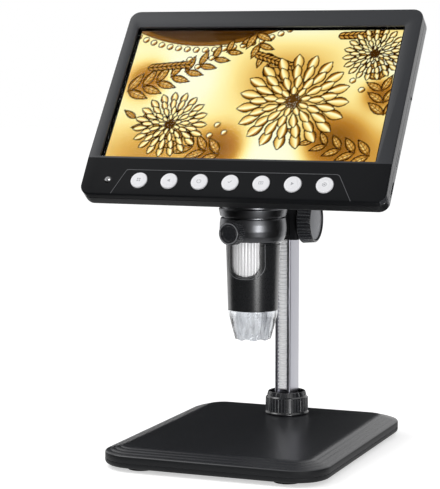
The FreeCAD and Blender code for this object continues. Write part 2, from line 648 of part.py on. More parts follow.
def make_carriage():
    """Ring that carries the scope, joined by an arm to the block that slides on the post."""
    frame = new_body("carriage_frame", ON_OPTIC)
    revolve(frame, (
        ("0", "ring_low"), ("ring_low_radius", "ring_low"),
        ("ring_mid_radius - 0.5", "ring_low + 3.4"), ("ring_mid_radius", "ring_middle"),
        ("ring_mid_radius - 0.15", "ring_high - 3"), ("ring_top_radius", "ring_high"),
        ("0", "ring_high"),
    ))
    block = sketch_on(frame, "carriage_low")
    front = "carriage_front - optic_y"
    back = "slot_back - optic_y"
    add_rectangle(block, "-carriage_half_width", "carriage_half_width", front, back)
    pad(frame, block, "carriage_high - carriage_low")
    arm = sketch_on(frame, "ring_low + 1")
    add_rectangle(arm, "-arm_half_width", "arm_half_width", "0", front)
    joined = pad(frame, arm, "ring_height - 2")
    side = size("carriage_half_width") - 1e-3
    edge = size("carriage_front") - size("optic_y") + 1e-3
    wanted = lambda e: upright(e) and abs(e.Vertexes[0].X) > side and e.Vertexes[0].Y < edge
    round_edges(frame, joined, "carriage_edge", wanted)
    pocket(frame, add_circle(sketch_on(frame, "ring_low"), "ring_bore"), "ring_height")
    slot = sketch_on(frame, "carriage_low")
    add_rectangle(slot, "-slot_half_width", "slot_half_width", "slot_front - optic_y", back)
    pocket(frame, slot, "carriage_high - carriage_low")
    axis = ("lift_y - optic_y", "lift_height")
    well = add_circle(sketch_on(frame, role="YZ_Plane"), "pinion_outer + free_gap", *axis)
    pocket(frame, well, "pinion_width + 2 * free_gap", middle=True)
    bore = add_circle(sketch_on(frame, role="YZ_Plane"), "shaft_radius + shaft_gap", *axis)
    pocket(frame, bore, "2 * carriage_half_width", middle=True)
    threads = sketch_on(frame, "-(%s)" % back, "XZ_Plane")
    for x, z in cover_screw_spots():
        add_circle(threads, "cover_screw_radius", x, z)
    pocket(frame, threads, "cover_screw_length - back_cover_thick + 0.5")
    insert = add_circle(sketch_on(frame, role="XZ_Plane"), "clamp_insert_radius", "0", "clamp_height")
    insert.AttachmentOffset = Placement(Vector(), Rotation(Vector(0, 1, 0), 1))
    bind(insert, AttachmentOffset__Rotation__Angle="-clamp_azimuth")
    pocket(frame, insert, "ring_mid_radius + 2")

    cover = new_body("carriage_back_cover", ON_OPTIC)
    plate = sketch_on(cover, "carriage_low")
    rear = "cover_back - optic_y"
    add_rectangle(plate, "-carriage_half_width", "carriage_half_width", back, rear)
    blank = pad(cover, plate, "carriage_high - carriage_low")
    edge = size("cover_back") - size("optic_y") - 1e-3
    round_edges(cover, blank, "carriage_edge", lambda e: upright(e) and e.Vertexes[0].Y > edge)
    holes = sketch_on(cover, "-(%s)" % rear, "XZ_Plane")
    for x, z in cover_screw_spots():
        add_circle(holes, "cover_screw_radius + shaft_gap", x, z)
    for z in set_screw_heights():
        add_circle(holes, "set_screw_radius", "0", z)
    pocket(cover, holes, "back_cover_thick")
    nest = sketch_on(cover, "lift_height - shoe_height / 2 - shaft_gap")
    half = "shoe_width / 2 + shaft_gap"
    add_rectangle(nest, "-(%s)" % half, half, back, "shoe_back - optic_y")
    pocket(cover, nest, "shoe_height + 2 * shaft_gap")

    screws = []
    for x, z in cover_screw_spots():
        head = cylinder("cover_screw_head", "cover_screw_head_height", x, "cover_back", z, "Y")
        start = "cover_back - cover_screw_length"
        shank = cylinder("cover_screw_radius", "cover_screw_length", x, start, z, "Y")
        screws.append(fuse(head, shank))
    keep(group(screws), "carriage_screws")

    shoe_low = ("-shoe_width / 2", "post_back + shaft_gap", "lift_height - shoe_height / 2")
    keep(box(*shoe_low, "shoe_width", "shoe_thick", "shoe_height"), "friction_shoe")
    grubs = [
        cylinder("set_screw_radius", "cover_back - shoe_back - 0.5", "0", "shoe_back", z, "Y")
        for z in set_screw_heights()
    ]
    keep(group(grubs), "friction_screws")

    def glide(low, height):
        width = "2 * slot_half_width"
        depth = "slot_back - slot_front"
        outer = box("-slot_half_width", "slot_front", low, width, depth, height)
        half = "post_width / 2 + running_gap"
        depth = "post_depth + 2 * running_gap"
        inner = box("-(%s)" % half, "post_front - running_gap", low, "2 * (%s)" % half, depth, height)
        return cut(outer, inner)

    high = "carriage_high - high_glide_height"
    glides = [glide("carriage_low", "low_glide_height"), glide(high, "high_glide_height")]
    keep(group(glides), "carriage_glides")


def cover_screw_spots():
    """Where the rear cover's screws go, across and up."""
    x = "(carriage_half_width + slot_half_width) / 2"
    return [("%d * %s" % (i, x), z) for i in (-1, 1) for z in ("carriage_low + 4", "carriage_high - 4")]


def set_screw_heights():
    return ("lift_height - shoe_height / 4", "lift_height + shoe_height / 4")


def make_clamp():
    """Thumbscrew in the ring that holds the scope; built with its axis along the body's Z."""
    insert_low = "clamp_tip + clamp_pad_thick + clamp_travel + free_gap"
    insert_high = "clamp_knob_low - free_gap"
    insert = new_body("clamp_insert", ON_CLAMP)
    revolve(insert, (
        ("clamp_stud_radius + shaft_gap", insert_low), ("clamp_insert_radius", insert_low),
        ("clamp_insert_radius", insert_high), ("clamp_stud_radius + shaft_gap", insert_high),
    ))
    tip = new_body("clamp_pad", ON_CLAMP)
    pad(tip, add_circle(sketch_on(tip, "clamp_tip"), "clamp_pad_radius"), "clamp_pad_thick")
    stud = new_body("clamp_stud", ON_CLAMP)
    start = "clamp_tip + clamp_pad_thick + seat_gap"
    shank = add_circle(sketch_on(stud, start), "clamp_stud_radius")
    pad(stud, shank, "clamp_knob_low + clamp_knob_length / 2 - (%s)" % start)
    knob = new_body("clamp_knob", ON_CLAMP)
    low = "clamp_knob_low"
    middle = low + " + clamp_knob_length / 2"
    high = low + " + clamp_knob_length"
    revolve(knob, (
        ("clamp_stud_radius", low), ("clamp_knob_radius - 0.8", low),
        ("clamp_knob_radius", low + " + 0.8"), ("clamp_knob_radius", high + " - 0.8"),
        ("clamp_knob_radius - 0.8", high),
        ("clamp_knob_radius - 1.4", high + " - clamp_dish"), ("0", high + " - clamp_dish"),
        ("0", middle), ("clamp_stud_radius", middle),
    ))
    flute = add_circle(sketch_on(knob, low), "clamp_flute_radius", "clamp_knob_radius + 0.05")
    repeat_around(knob, pocket(knob, flute, "clamp_knob_length - 0.6"), "clamp_flutes")


def make_neck_and_barrel():
    neck = new_body("neck_housing", ON_OPTIC)
    seat = "ring_high + seat_gap"
    inner = "neck_radius - neck_wall"
    tall = "screen_height"
    revolve(neck, (
        ("barrel_radius", seat), ("barrel_radius + 1.6", seat),
        ("barrel_radius + 1.6", "flange_low"), ("flange_low_radius", "flange_low"),
        ("flange_radius", "flange_high"), ("neck_radius", "flange_high"),
        ("neck_radius", tall), (inner, tall), (inner, "neck_floor_top"),
        ("barrel_flange_bore", "neck_floor_top"), ("barrel_flange_bore", "barrel_high"),
        ("barrel_radius", "barrel_high"),
    ))
    side = sketch_on(neck, role="YZ_Plane")
    across = "face_height * sin(tilt)"
    up = "face_height * cos(tilt)"
    middle = "back_y - optic_y"
    corners = (
        ("%s - %s" % (middle, across), "back_z - " + up),
        ("%s + %s" % (middle, across), "back_z + " + up),
        ("%s - %s" % (middle, across), "back_z + " + up),
    )
    pocket(neck, add_outline(side, corners), "3 * neck_radius", middle=True)
    holes = sketch_on(neck, "barrel_high")
    for across, along in barrel_screw_spots():
        add_circle(holes, "barrel_screw_radius + shaft_gap", across, along)
    pocket(neck, holes, "neck_wall")

    screws = []
    for across, along in barrel_screw_spots():
        spot = (across, "optic_y + " + along)
        head = cylinder("barrel_screw_head", "barrel_screw_head_height", *spot, "neck_floor_top")
        length = "neck_floor_top - sensor_board_low"
        screws.append(fuse(head, cylinder("barrel_screw_radius", length, *spot, "sensor_board_low")))
    keep(group(screws), "barrel_screws")

    barrel = new_body("scope_barrel", ON_OPTIC)
    revolve(barrel, (
        ("barrel_low_bore", "barrel_low"), ("barrel_tip_radius", "barrel_low"),
        ("barrel_radius", "ring_low"), ("barrel_radius", "barrel_high"),
        ("barrel_flange_bore", "barrel_high"),
        ("barrel_flange_bore", "barrel_shelf"), ("barrel_bore", "barrel_shelf"),
        ("barrel_bore", "sleeve_high"), ("barrel_low_bore", "sleeve_high"),
    ))
    holes = sketch_on(barrel, "barrel_shelf")
    for across, along in barrel_screw_spots():
        add_circle(holes, "barrel_screw_radius", across, along)
    pocket(barrel, holes, "barrel_flange")
    window = sketch_on(barrel, role="XZ_Plane")
    half = "window_half_width"
    add_rectangle(window, "-" + half, half, "window_low + " + half, "ring_low + 1.5")
    pocket(barrel, window, "barrel_radius + 1")
    window = add_circle(sketch_on(barrel, role="XZ_Plane"), half, "0", "window_low + " + half)
    pocket(barrel, window, "barrel_radius + 1")

    board = new_body("image_sensor_board", ON_OPTIC)
    disc = add_circle(sketch_on(board, "sensor_board_low"), "barrel_bore - free_gap")
    pad(board, disc, "sensor_board_thick")
    chip = sketch_on(board, "sensor_board_low - sensor_chip_thick")
    add_rectangle(chip, "-sensor_chip_half", "sensor_chip_half", "-sensor_chip_half", "sensor_chip_half")
    pad(board, chip, "sensor_chip_thick")
    holes = sketch_on(board, "sensor_board_low")
    for across, along in barrel_screw_spots():
        add_circle(holes, "barrel_screw_radius + shaft_gap", across, along)
    pocket(board, holes, "sensor_board_thick")

    flex_low = ("-flex_width / 2", "optic_y - flex_thick / 2", "barrel_shelf")
    flex = box(*flex_low, "flex_width", "flex_thick", "flex_high - barrel_shelf")
    plug = box("-flex_width / 2 - 1", "optic_y - 1.5", "barrel_shelf", "flex_width + 2", "3", "2")
    keep(fuse(flex, plug), "camera_flex")


def barrel_screw_spots():
    """Three screws on a circle about the optic axis, across and along."""
    spots = []
    for turn in (30, 150, 270):
        across = "barrel_screw_circle * cos(%d)" % turn
        along = "barrel_screw_circle * sin(%d)" % turn
        spots.append((across, along))
    return spots


def make_optics():
    sleeve = new_body("guide_sleeve", ON_OPTIC)
    bore = "carrier_radius + running_gap"
    revolve(sleeve, (
        (bore, "sleeve_low"), ("barrel_low_bore", "sleeve_low"), ("barrel_low_bore", "sleeve_high"),
        (bore, "sleeve_high"),
    ))
    keyway = sketch_on(sleeve, "sleeve_low")
    half = "key_width / 2 + running_gap"
    add_rectangle(keyway, "-(%s)" % half, half, "0", "carrier_radius + key_height + running_gap")
    pocket(sleeve, keyway, "sleeve_length")

    carrier = new_body("lens_carrier", ON_OPTIC)
    high = "carrier_low + carrier_height"
    revolve(carrier, (
        ("lens_bore", "carrier_low"), ("carrier_radius", "carrier_low"), ("carrier_radius", high),
        ("lens_bore", high),
    ))
    key = sketch_on(carrier, "carrier_low")
    key_end = "carrier_radius + key_height"
    add_rectangle(key, "-key_width / 2", "key_width / 2", "carrier_radius - 0.8", key_end)
    pad(carrier, key, "key_length")

    lenses = []
    for low in ("carrier_low + 1", "carrier_low + 6.5"):
        lenses.append(cylinder("lens_bore", "lens_thick", "0", "optic_y", low))
    keep(group(lenses), "objective_lenses")

    wheel = new_body("focus_wheel", ON_OPTIC)
    high = "wheel_low + wheel_height"
    bore = "carrier_radius + running_gap"
    revolve(wheel, (
        (bore, "wheel_low"), ("wheel_radius - 0.4", "wheel_low"), ("wheel_radius", "wheel_low + 0.4"),
        ("wheel_radius", high + " - 0.4"), ("wheel_radius - 0.4", high), (bore, high),
    ))
    flute = add_circle(sketch_on(wheel, "wheel_low"), "wheel_flute_radius", "wheel_radius + 0.1")
    repeat_around(wheel, pocket(wheel, flute, "wheel_height"), "wheel_flutes")

    board = new_body("led_board", ON_OPTIC)
    ring = add_circle(sketch_on(board, "led_board_low"), "barrel_low_bore")
    add_circle(ring, "led_board_bore")
    pad(board, ring, "led_board_thick")
    lamps = []
    for i in range(int(size("led_count"))):
        turn = "%d * 360 / led_count" % i
        spot = ("led_circle * cos(%s)" % turn, "optic_y + led_circle * sin(%s)" % turn)
        lamps.append(cylinder("led_radius", "led_height", *spot, "led_board_low - led_height"))
    keep(group(lamps), "led_lamps")

    nose = new_body("nose_cone", ON_OPTIC)
    top = "barrel_low + nose_spigot"
    tip_bore = "nose_tip_radius - nose_wall"
    spigot_bore = "barrel_low_bore - nose_wall"
    revolve(nose, (
        (tip_bore, "nose_low"), ("nose_tip_radius", "nose_low"),
        ("barrel_tip_radius - 0.1", "barrel_low - nose_band"), ("barrel_tip_radius", "barrel_low"),
        ("barrel_low_bore", "barrel_low"), ("barrel_low_bore", top), (spigot_bore, top),
        (spigot_bore, "barrel_low - nose_band"),
    ))
    lobe = sketch_on(nose, role="XZ_Plane")
    add_circle(lobe, "lobe_radius", "0", "nose_low + lobe_depth - lobe_radius")
    bite = pocket(nose, lobe, "barrel_tip_radius + 1")
    pattern = nose.newObject("PartDesign::PolarPattern", "nose_pattern")
    pattern.Originals = [bite]
    pattern.Axis = (lobe, ["V_Axis"])
    pattern.Angle = 360
    bind(pattern, Occurrences="nose_lobes")
    nose.Tip = pattern


def case_screw_spots():
    """Screws of the display's case, across and up its face."""
    side = "case_screw_side"
    low = "-case_screw_bottom"
    top = "case_screw_top"
    return [("-" + side, top), ("0", top), (side, top), ("-" + side, low), (side, low)]


def make_case():
    """Bezel and rear cover; their own Z is the face's outward normal, Y runs up the face."""
    outline = ("face_width / 2", "face_height / 2", "case_corner", "-face_drop")
    inner = ["%s - case_wall" % text for text in outline[:3]] + ["-face_drop"]
    bezel = new_body("front_bezel", ON_DISPLAY)
    blank = pad(bezel, add_round_rectangle(sketch_on(bezel, "-bezel_depth"), *outline), "bezel_depth")
    round_edges(bezel, blank, "0.8", at_height(0))
    slope = sketch_on(bezel, role="YZ_Plane")
    far = "-face_bottom - 4"
    fall = "(face_bottom + 4 - crease_drop) * tan(band_angle)"
    add_outline(slope, (("-crease_drop", "0"), (far, "-(%s)" % fall), (far, "3"), ("-crease_drop", "3")))
    pocket(bezel, slope, "face_width + 4", middle=True)
    cavity = sketch_on(bezel, "-bezel_depth")
    left = "-face_width / 2 + case_wall"
    right = "face_width / 2 - case_wall"
    add_rectangle(cavity, left, right, "-crease_drop", "face_top - case_wall")
    pocket(bezel, cavity, "bezel_depth - skin")
    cavity = sketch_on(bezel, "-bezel_depth")
    add_rectangle(cavity, left, right, "-face_bottom + case_wall", "-crease_drop + 0.01")
    pocket(bezel, cavity, "bezel_depth - band_skin")
    window = sketch_on(bezel, "-bezel_depth")
    add_rectangle(window, "-window_left", "window_right", "-window_bottom", "window_top")
    pocket(bezel, window, "2 * bezel_depth")
    for low_row, ceiling in ((True, "band_skin"), (False, "skin")):
        bosses = sketch_on(bezel, "-bezel_depth")
        for across, up in case_screw_spots():
            if up.startswith("-") == low_row:
                add_circle(bosses, "case_boss_radius", across, up)
        pad(bezel, bosses, "bezel_depth - %s" % ceiling)
    bores = sketch_on(bezel, "-bezel_depth")
    for across, up in case_screw_spots():
        add_circle(bores, "case_screw_radius", across, up)
    pocket(bezel, bores, "2")
    holes = sketch_on(bezel, "-bezel_depth")
    for across in button_places():
        add_circle(holes, "button_radius + button_gap", across, "-button_drop")
    add_circle(holes, "eye_radius", "-eye_offset", "-button_drop")
    pocket(bezel, holes, "2 * bezel_depth")

    cover = new_body("rear_cover", ON_DISPLAY)
    depth = "case_depth - bezel_depth"
    blank = pad(cover, add_round_rectangle(sketch_on(cover, "-case_depth"), *outline), depth)
    round_edges(cover, blank, "rear_round", at_height(-size("case_depth")))
    pocket(cover, add_round_rectangle(sketch_on(cover, "-case_floor"), *inner), depth)
    bosses = sketch_on(cover, "-case_floor")
    for across, up in case_screw_spots():
        add_circle(bosses, "case_boss_radius", across, up)
    pad(cover, bosses, "case_floor - bezel_depth")
    holes = sketch_on(cover, "-case_depth")
    heads = sketch_on(cover, "-case_depth")
    for across, up in case_screw_spots():
        add_circle(holes, "case_screw_radius + shaft_gap", across, up)
        add_circle(heads, "case_screw_head + 0.2", across, up)
    pocket(cover, holes, "case_depth")
    pocket(cover, heads, "case_wall")
    cable = sketch_on(cover, "-case_depth")
    half = "cable_hole_width / 2"
    rise = "cable_hole_height / 2"
    add_rectangle(cable, "-" + half, half, "cable_v - " + rise, "cable_v + " + rise)
    pocket(cover, cable, "2 * case_wall")
    ports = sketch_on(cover, "face_width / 2 - case_wall - 1", "YZ_Plane")
    for port in ("usb", "card"):
        middle = "-(board_back + %s_thick / 2)" % port
        half = "%s_width / 2 + 0.2" % port
        rise = "%s_thick / 2 + 0.2" % port
        low = "-%s_drop - (%s)" % (port, half)
        high = "-%s_drop + %s" % (port, half)
        add_rectangle(ports, low, high, "%s - (%s)" % (middle, rise), "%s + %s" % (middle, rise))
    pocket(cover, ports, "case_wall + 3")

    screws = []
    for across, up in case_screw_spots():
        head = cylinder("case_screw_head", "case_wall - 0.6", across, up, "-case_depth + 0.6")
        length = "case_floor - bezel_depth + 1.6"
        shank = cylinder("case_screw_radius", length, across, up, "-case_floor")
        screws.append(fuse(head, shank))
    place(keep(group(screws), "housing_screws"), ON_DISPLAY)


def button_places():
    """Each button's place across the face."""
    middle = (size("button_count") - 1) / 2
    return ["%g * button_pitch" % (i - middle) for i in range(int(size("button_count")))]


def make_display_parts():
    def block(name, left, right, low, high, back, front):
        lengths = ("%s - (%s)" % (right, left), "%s - (%s)" % (high, low), "%s - (%s)" % (front, back))
        return place(keep(group([box(left, low, back, *lengths)]), name), ON_DISPLAY)

    lap = " + glass_lap"
    block("screen_glass", "-window_left - glass_lap", "window_right" + lap, "-window_bottom + 0.2",
          "window_top" + lap, "-glass_back", "-skin")
    half = "panel_width / 2"
    block("lcd_panel", "-" + half, half, "-crease_drop + 0.3", "-crease_drop + 0.3 + panel_height",
          "-panel_back", "-panel_back + panel_thick")

    board_front = "-board_back + board_thick"
    inner_side = "face_width / 2 - case_wall - 0.4"
    main = box("-board_left", "-board_bottom", "-board_back", inner_side + " + board_left",
               "board_bottom + board_top", "board_thick")
    tab_left = "face_width / 2 - case_wall - usb_length - 1"
    tab_low = "usb_drop + usb_width / 2 + 0.6"
    tab = box(tab_left, "-(%s)" % tab_low, "-board_back", "%s - (%s)" % (inner_side, tab_left),
              tab_low + " - board_bottom + 1", "board_thick")
    place(keep(fuse(main, tab), "main_board"), ON_DISPLAY)
    # Processor, memory, power chip, coil and the camera's plug: left, low, wide, tall, thick.
    chips = (
        ("26", "-30", "13", "13", "1.4"), ("44", "-28", "9", "11", "1.1"),
        ("56", "-8", "7", "7", "1.0"), ("24", "-8", "5", "6", "1.8"),
        ("-5", "board_plug_v + 1", "10", "3", "1.0"),
    )
    chip_boxes = []
    for left, low, wide, tall, thick in chips:
        chip_boxes.append(box(left, low, "-board_back - " + thick, wide, tall, thick))
    place(keep(group(chip_boxes), "board_chips"), ON_DISPLAY)
    right = "-board_left - 2.5"
    low = "-board_bottom + 8"
    front = "-panel_back - 0.2"
    block("battery_pack", right + " - battery_width", right, low, low + " + battery_height",
          front + " - battery_thick", front)

    half = "(eye_offset + receiver_width)"
    block("button_board", "-" + half, half, "-button_drop - key_board_height / 2",
          "-button_drop + key_board_height / 2", "-key_board_low", "-key_board_depth")
    half = "receiver_width / 2"
    block("ir_receiver", "-eye_offset - " + half, "-eye_offset + " + half, "-button_drop - 2",
          "-button_drop + 2", "-key_board_depth", "-button_lip_low")
    eye_length = "button_lip_low - band_level"
    eye = cylinder("eye_radius", eye_length, "-eye_offset", "-button_drop", "-button_lip_low")
    place(keep(group([eye]), "ir_window"), ON_DISPLAY)

    switches = []
    for across in button_places():
        corner = (across + " - switch_size / 2", "-button_drop - switch_size / 2", "-key_board_depth")
        body = box(*corner, "switch_size", "switch_size", "key_board_depth - switch_top")
        floor = "-key_board_depth + 0.3"
        well = cylinder("stem_radius + running_gap", "key_board_depth", across, "-button_drop", floor)
        switches.append(cut(body, well))
    place(keep(group(switches), "tact_switches"), ON_DISPLAY)

    mouth = "face_width / 2 - port_margin"

    def port(name):
        """Metal shell of a port, open at its mouth; its sizes begin with its name."""
        words = ("length", "width", "thick", "drop", "shell")
        length, wide, thick, drop, wall = ["%s_%s" % (name, word) for word in words]
        side = "-%s - %s / 2" % (drop, wide)
        low = "-board_back - " + thick
        outer = box("%s - %s" % (mouth, length), side, low, length, wide, thick)
        inside = ("%s - %s + 1" % (mouth, length), "%s + %s" % (side, wall), "%s + %s" % (low, wall))
        inner = box(*inside, length, "%s - 2 * %s" % (wide, wall), "%s - 2 * %s" % (thick, wall))
        return cut(outer, inner)

    tongue = box("%s - usb_length" % mouth, "-usb_drop - usb_tongue_width / 2",
                 "-board_back - usb_thick / 2 - usb_tongue_thick / 2", "usb_length - 1.5",
                 "usb_tongue_width", "usb_tongue_thick")
    place(keep(fuse(port("usb"), tongue), "usb_port"), ON_DISPLAY)
    place(keep(port("card"), "card_slot"), ON_DISPLAY)


def make_buttons():
    """Seven capped keys; each slides along the face's normal and is held by a lip."""
    for number, across in enumerate(button_places(), start=1):
        key = new_body("button_%d" % number, ON_DISPLAY)
        middle = (across, "-button_drop")
        lip = add_circle(sketch_on(key, "-button_lip_low"), "button_radius + button_lip", *middle)
        pad(key, lip, "button_lip_height")
        cap = add_circle(sketch_on(key, "-button_lip_low"), "button_radius", *middle)
        top = pad(key, cap, "button_lip_low + button_high")
        round_edges(key, top, "button_round", at_height(size("button_high")))
        stem = add_circle(sketch_on(key, "-button_lip_low - stem_length"), "stem_radius", *middle)
        pad(key, stem, "stem_length")


def check_and_write():
    doc.recompute()
    for thing in doc.Objects:
        bad = [word for word in thing.State if word in ("Invalid", "Error")]
        if bad:
            raise RuntimeError("%s (%s) is %s" % (thing.Name, thing.Label, ", ".join(bad)))
    os.makedirs("parts", exist_ok=True)
    for node in nodes:
        shape = node.Shape
        if shape.isNull() or not shape.isValid() or not shape.Solids:
            raise RuntimeError("%s has no valid solid" % node.Label)
        shape.exportStep("parts/%s.step" % node.Label)
        print("%-22s %2d solid(s) %10.1f mm3" % (node.Label, len(shape.Solids), shape.Volume))


make_base()
make_post()
make_rack()
make_carriage()
make_pinion()
make_lift_drive()
make_clamp()
make_neck_and_barrel()
make_optics()
make_case()
make_display_parts()
make_buttons()
check_and_write()
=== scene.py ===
"""Looks of a desktop digital microscope with its own screen.

Shapes are worked out in millimetres, each in the frame of the part that carries it, and turned
to metres when the finished piece is made.
"""
import json
import math

import bmesh
import bpy
import numpy as np
from mathutils import Matrix, Vector


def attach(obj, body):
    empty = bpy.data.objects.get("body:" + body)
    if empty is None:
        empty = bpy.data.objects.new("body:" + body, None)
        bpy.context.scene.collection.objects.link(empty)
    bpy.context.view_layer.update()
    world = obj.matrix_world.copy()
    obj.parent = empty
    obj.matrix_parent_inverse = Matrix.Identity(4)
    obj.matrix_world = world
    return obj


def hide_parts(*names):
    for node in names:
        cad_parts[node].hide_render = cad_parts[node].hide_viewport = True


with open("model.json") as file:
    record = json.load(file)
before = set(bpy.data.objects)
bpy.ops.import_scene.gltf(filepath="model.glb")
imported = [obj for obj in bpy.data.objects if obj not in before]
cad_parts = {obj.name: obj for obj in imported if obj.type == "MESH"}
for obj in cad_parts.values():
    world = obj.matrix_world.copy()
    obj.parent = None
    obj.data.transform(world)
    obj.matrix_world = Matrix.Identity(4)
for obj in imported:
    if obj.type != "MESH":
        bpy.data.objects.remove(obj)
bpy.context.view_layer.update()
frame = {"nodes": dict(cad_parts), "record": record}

MM = 0.001
# The camera that was fitted to the photograph: its turn and dip in radians, its focal length and the
# picture's height in pixels, and the sensor's width and the eye's place in millimetres.
YAW, PITCH = 0.3762, 0.1030
FOCAL_PIXELS, IMAGE_HEIGHT, SENSOR = 1824.335, 489, 36
EYE = Vector((351.362, -946.511, 220.269))

# Frames of the parts that carry the pieces, in millimetres. Their Z runs up the optic and the post,
# along the shaft to the right, out of the display's face, and forwards out of the clamp.
OPTIC_Y, POST_Y = -7.3, 49.7
SHAFT_Y, SHAFT_Z = 36.78, 126.9
FACE_Y, FACE_Z = -8.57, 200.56
CLAMP_Z = 124.8
DISPLAY_TILT, CLAMP_TURN = math.radians(53.4), math.radians(-9)
QUARTER = math.radians(90)
ON_FLOOR = Matrix.Identity(4)
ON_OPTIC = Matrix.Translation((0, OPTIC_Y, 0))
ON_POST = Matrix.Translation((0, POST_Y, 0))
ON_SHAFT = Matrix.Translation((0, SHAFT_Y, SHAFT_Z)) @ Matrix.Rotation(QUARTER, 4, "Y")
ON_DISPLAY = Matrix.Translation((0, FACE_Y, FACE_Z)) @ Matrix.Rotation(DISPLAY_TILT, 4, "X")
ON_CLAMP = (
    Matrix.Translation((0, OPTIC_Y, CLAMP_Z))
    @ Matrix.Rotation(CLAMP_TURN, 4, "Z")
    @ Matrix.Rotation(QUARTER, 4, "X")
)

# The column's foot and top, above the floor.
COLUMN_LOW, COLUMN_HIGH = 7.2, 190.0

# The display's own frame: across, up the face, and out of it. Sides go left, right, low, high.
FACE = (-87.2, 87.2, -67.65, 56.45)
FACE_CORNER, FACE_STEPS = 6.0, 10
WINDOW = (-80.2, 78.4, -43.6, 45.0)
WINDOW_CORNER = 1.2
CASE_DEPTH, BEZEL_DEPTH = 13.6, 5.5
CASE_WALL, FRONT_WALL = 2.2, 1.2
# Below the crease the face falls away as the button band.
CREASE = -44.8
BAND_FALL = math.tan(math.radians(3.76))
BUTTON_COUNT, BUTTON_PITCH, BUTTON_ROW = 7, 17.68, -58.33
EYE_ACROSS = -71.6
BUTTON_HOLE, EYE_HOLE, HOLE_LOW, HOLE_HIGH = 5.05, 2.2, -6.5, 1.0
# The lit picture: its place, how deep it lies, its true size and the points it is drawn with.
PICTURE = (-78.0, 77.3, -42.6, 43.6)
PICTURE_LEVEL = -2.24
PICTURE_SIZE = (154.2, 85.9)
PICTURE_POINTS = (400, 224)
MASK_LOW, MASK_HIGH = -2.3, -2.255
GOLDEN_TURN = math.radians(137.508)


# Colour and node helpers

def linear(code):
    """An sRGB hex colour as linear RGBA."""
    channels = [int(code[i:i + 2], 16) / 255 for i in (1, 3, 5)]
    return [c / 12.92 if c <= 0.04045 else ((c + 0.055) / 1.055) ** 2.4 for c in channels] + [1.0]


def add(tree, kind, inputs=(), **settings):
    """Add a node, set its properties, and give its inputs values or links."""
    made = tree.nodes.new(kind)
    for name, value in settings.items():
        setattr(made, name, value)
    for name, value in dict(inputs).items():
        if isinstance(value, bpy.types.NodeSocket):
            tree.links.new(value, made.inputs[name])
        else:
            made.inputs[name].default_value = value
    return made


def new_material(name):
    """A material with an empty tree."""
    material = bpy.data.materials.new(name)
    material.use_nodes = True
    material.node_tree.nodes.clear()
    return material, material.node_tree


# A noise value keeps near a half: what lies between these two is spread over what it drives.
NOISE_LOW, NOISE_HIGH = 0.3, 0.7


def speckle(tree, size, stretch=(1, 1, 1), detail=2.0):
    """Noise on object coordinates whose blotches are about size millimetres."""
    place = add(tree, "ShaderNodeTexCoord")
    scaled = add(tree, "ShaderNodeMapping", {"Vector": place.outputs["Object"], "Scale": stretch})
    inputs = {"Vector": scaled.outputs[0], "Scale": 1.0 / (size * MM), "Detail": detail}
    return add(tree, "ShaderNodeTexNoise", inputs)


def tinted(tree, value, colour, change):
    """Vary a colour's lightness a little either way."""
    ramp = add(tree, "ShaderNodeValToRGB", {"Fac": value})
    ends = ((NOISE_LOW, 1 - change), (NOISE_HIGH, 1 + change))
    for stop, (position, share) in zip(ramp.color_ramp.elements, ends):
        stop.position = position
        stop.color = [c * share for c in linear(colour)[:3]] + [1.0]
    return ramp


# Finishes

def moulded_plastic(name, colour, rough, grain, relief, gloss=0.5, change=0.08):
    """Injection-moulded plastic: the eroded steel of the tool leaves a grain that breaks the sheen.

    The true grain, about 0.1 mm, is too fine for the render, so it is drawn about five times as coarse.
    """
    material, tree = new_material(name)
    cloud, uneven, depth = 35, 0.04, 0.05 * MM
    broad = speckle(tree, cloud)
    fine = speckle(tree, grain, detail=4.0).outputs["Fac"]
    bump = add(tree, "ShaderNodeBump", {"Height": fine, "Strength": relief, "Distance": depth})
    sheen = add(tree, "ShaderNodeMapRange", {
        "Value": fine, "From Min": NOISE_LOW, "From Max": NOISE_HIGH,
        "To Min": rough - uneven, "To Max": rough + uneven,
    })
    shader = add(tree, "ShaderNodeBsdfPrincipled", {
        "Base Color": tinted(tree, broad.outputs["Fac"], colour, change).outputs[0],
        "Roughness": sheen.outputs[0], "Specular IOR Level": gloss, "IOR": 1.5,
        "Normal": bump.outputs[0],
    })
    add(tree, "ShaderNodeOutputMaterial", {"Surface": shader.outputs[0]})
    return material


def worked_metal(name, colour, rough, stretch, grain, relief, change=0.05, metallic=1.0):
    """Metal whose drawing, turning or brushing marks run one way and stretch its glints.

    True marks are a few hundredths of a millimetre wide. They are drawn about ten times as coarse.
    """
    material, tree = new_material(name)
    uneven, depth = 0.05, 0.03 * MM
    marks = speckle(tree, grain, stretch, detail=3.0).outputs["Fac"]
    bump = add(tree, "ShaderNodeBump", {"Height": marks, "Strength": relief, "Distance": depth})
    sheen = add(tree, "ShaderNodeMapRange", {
        "Value": marks, "From Min": NOISE_LOW, "From Max": NOISE_HIGH,
        "To Min": rough - uneven, "To Max": rough + uneven,
    })
    shader = add(tree, "ShaderNodeBsdfPrincipled", {
        "Base Color": tinted(tree, marks, colour, change).outputs[0],
        "Roughness": sheen.outputs[0], "Metallic": metallic, "Normal": bump.outputs[0],
    })
    add(tree, "ShaderNodeOutputMaterial", {"Surface": shader.outputs[0]})
    return material


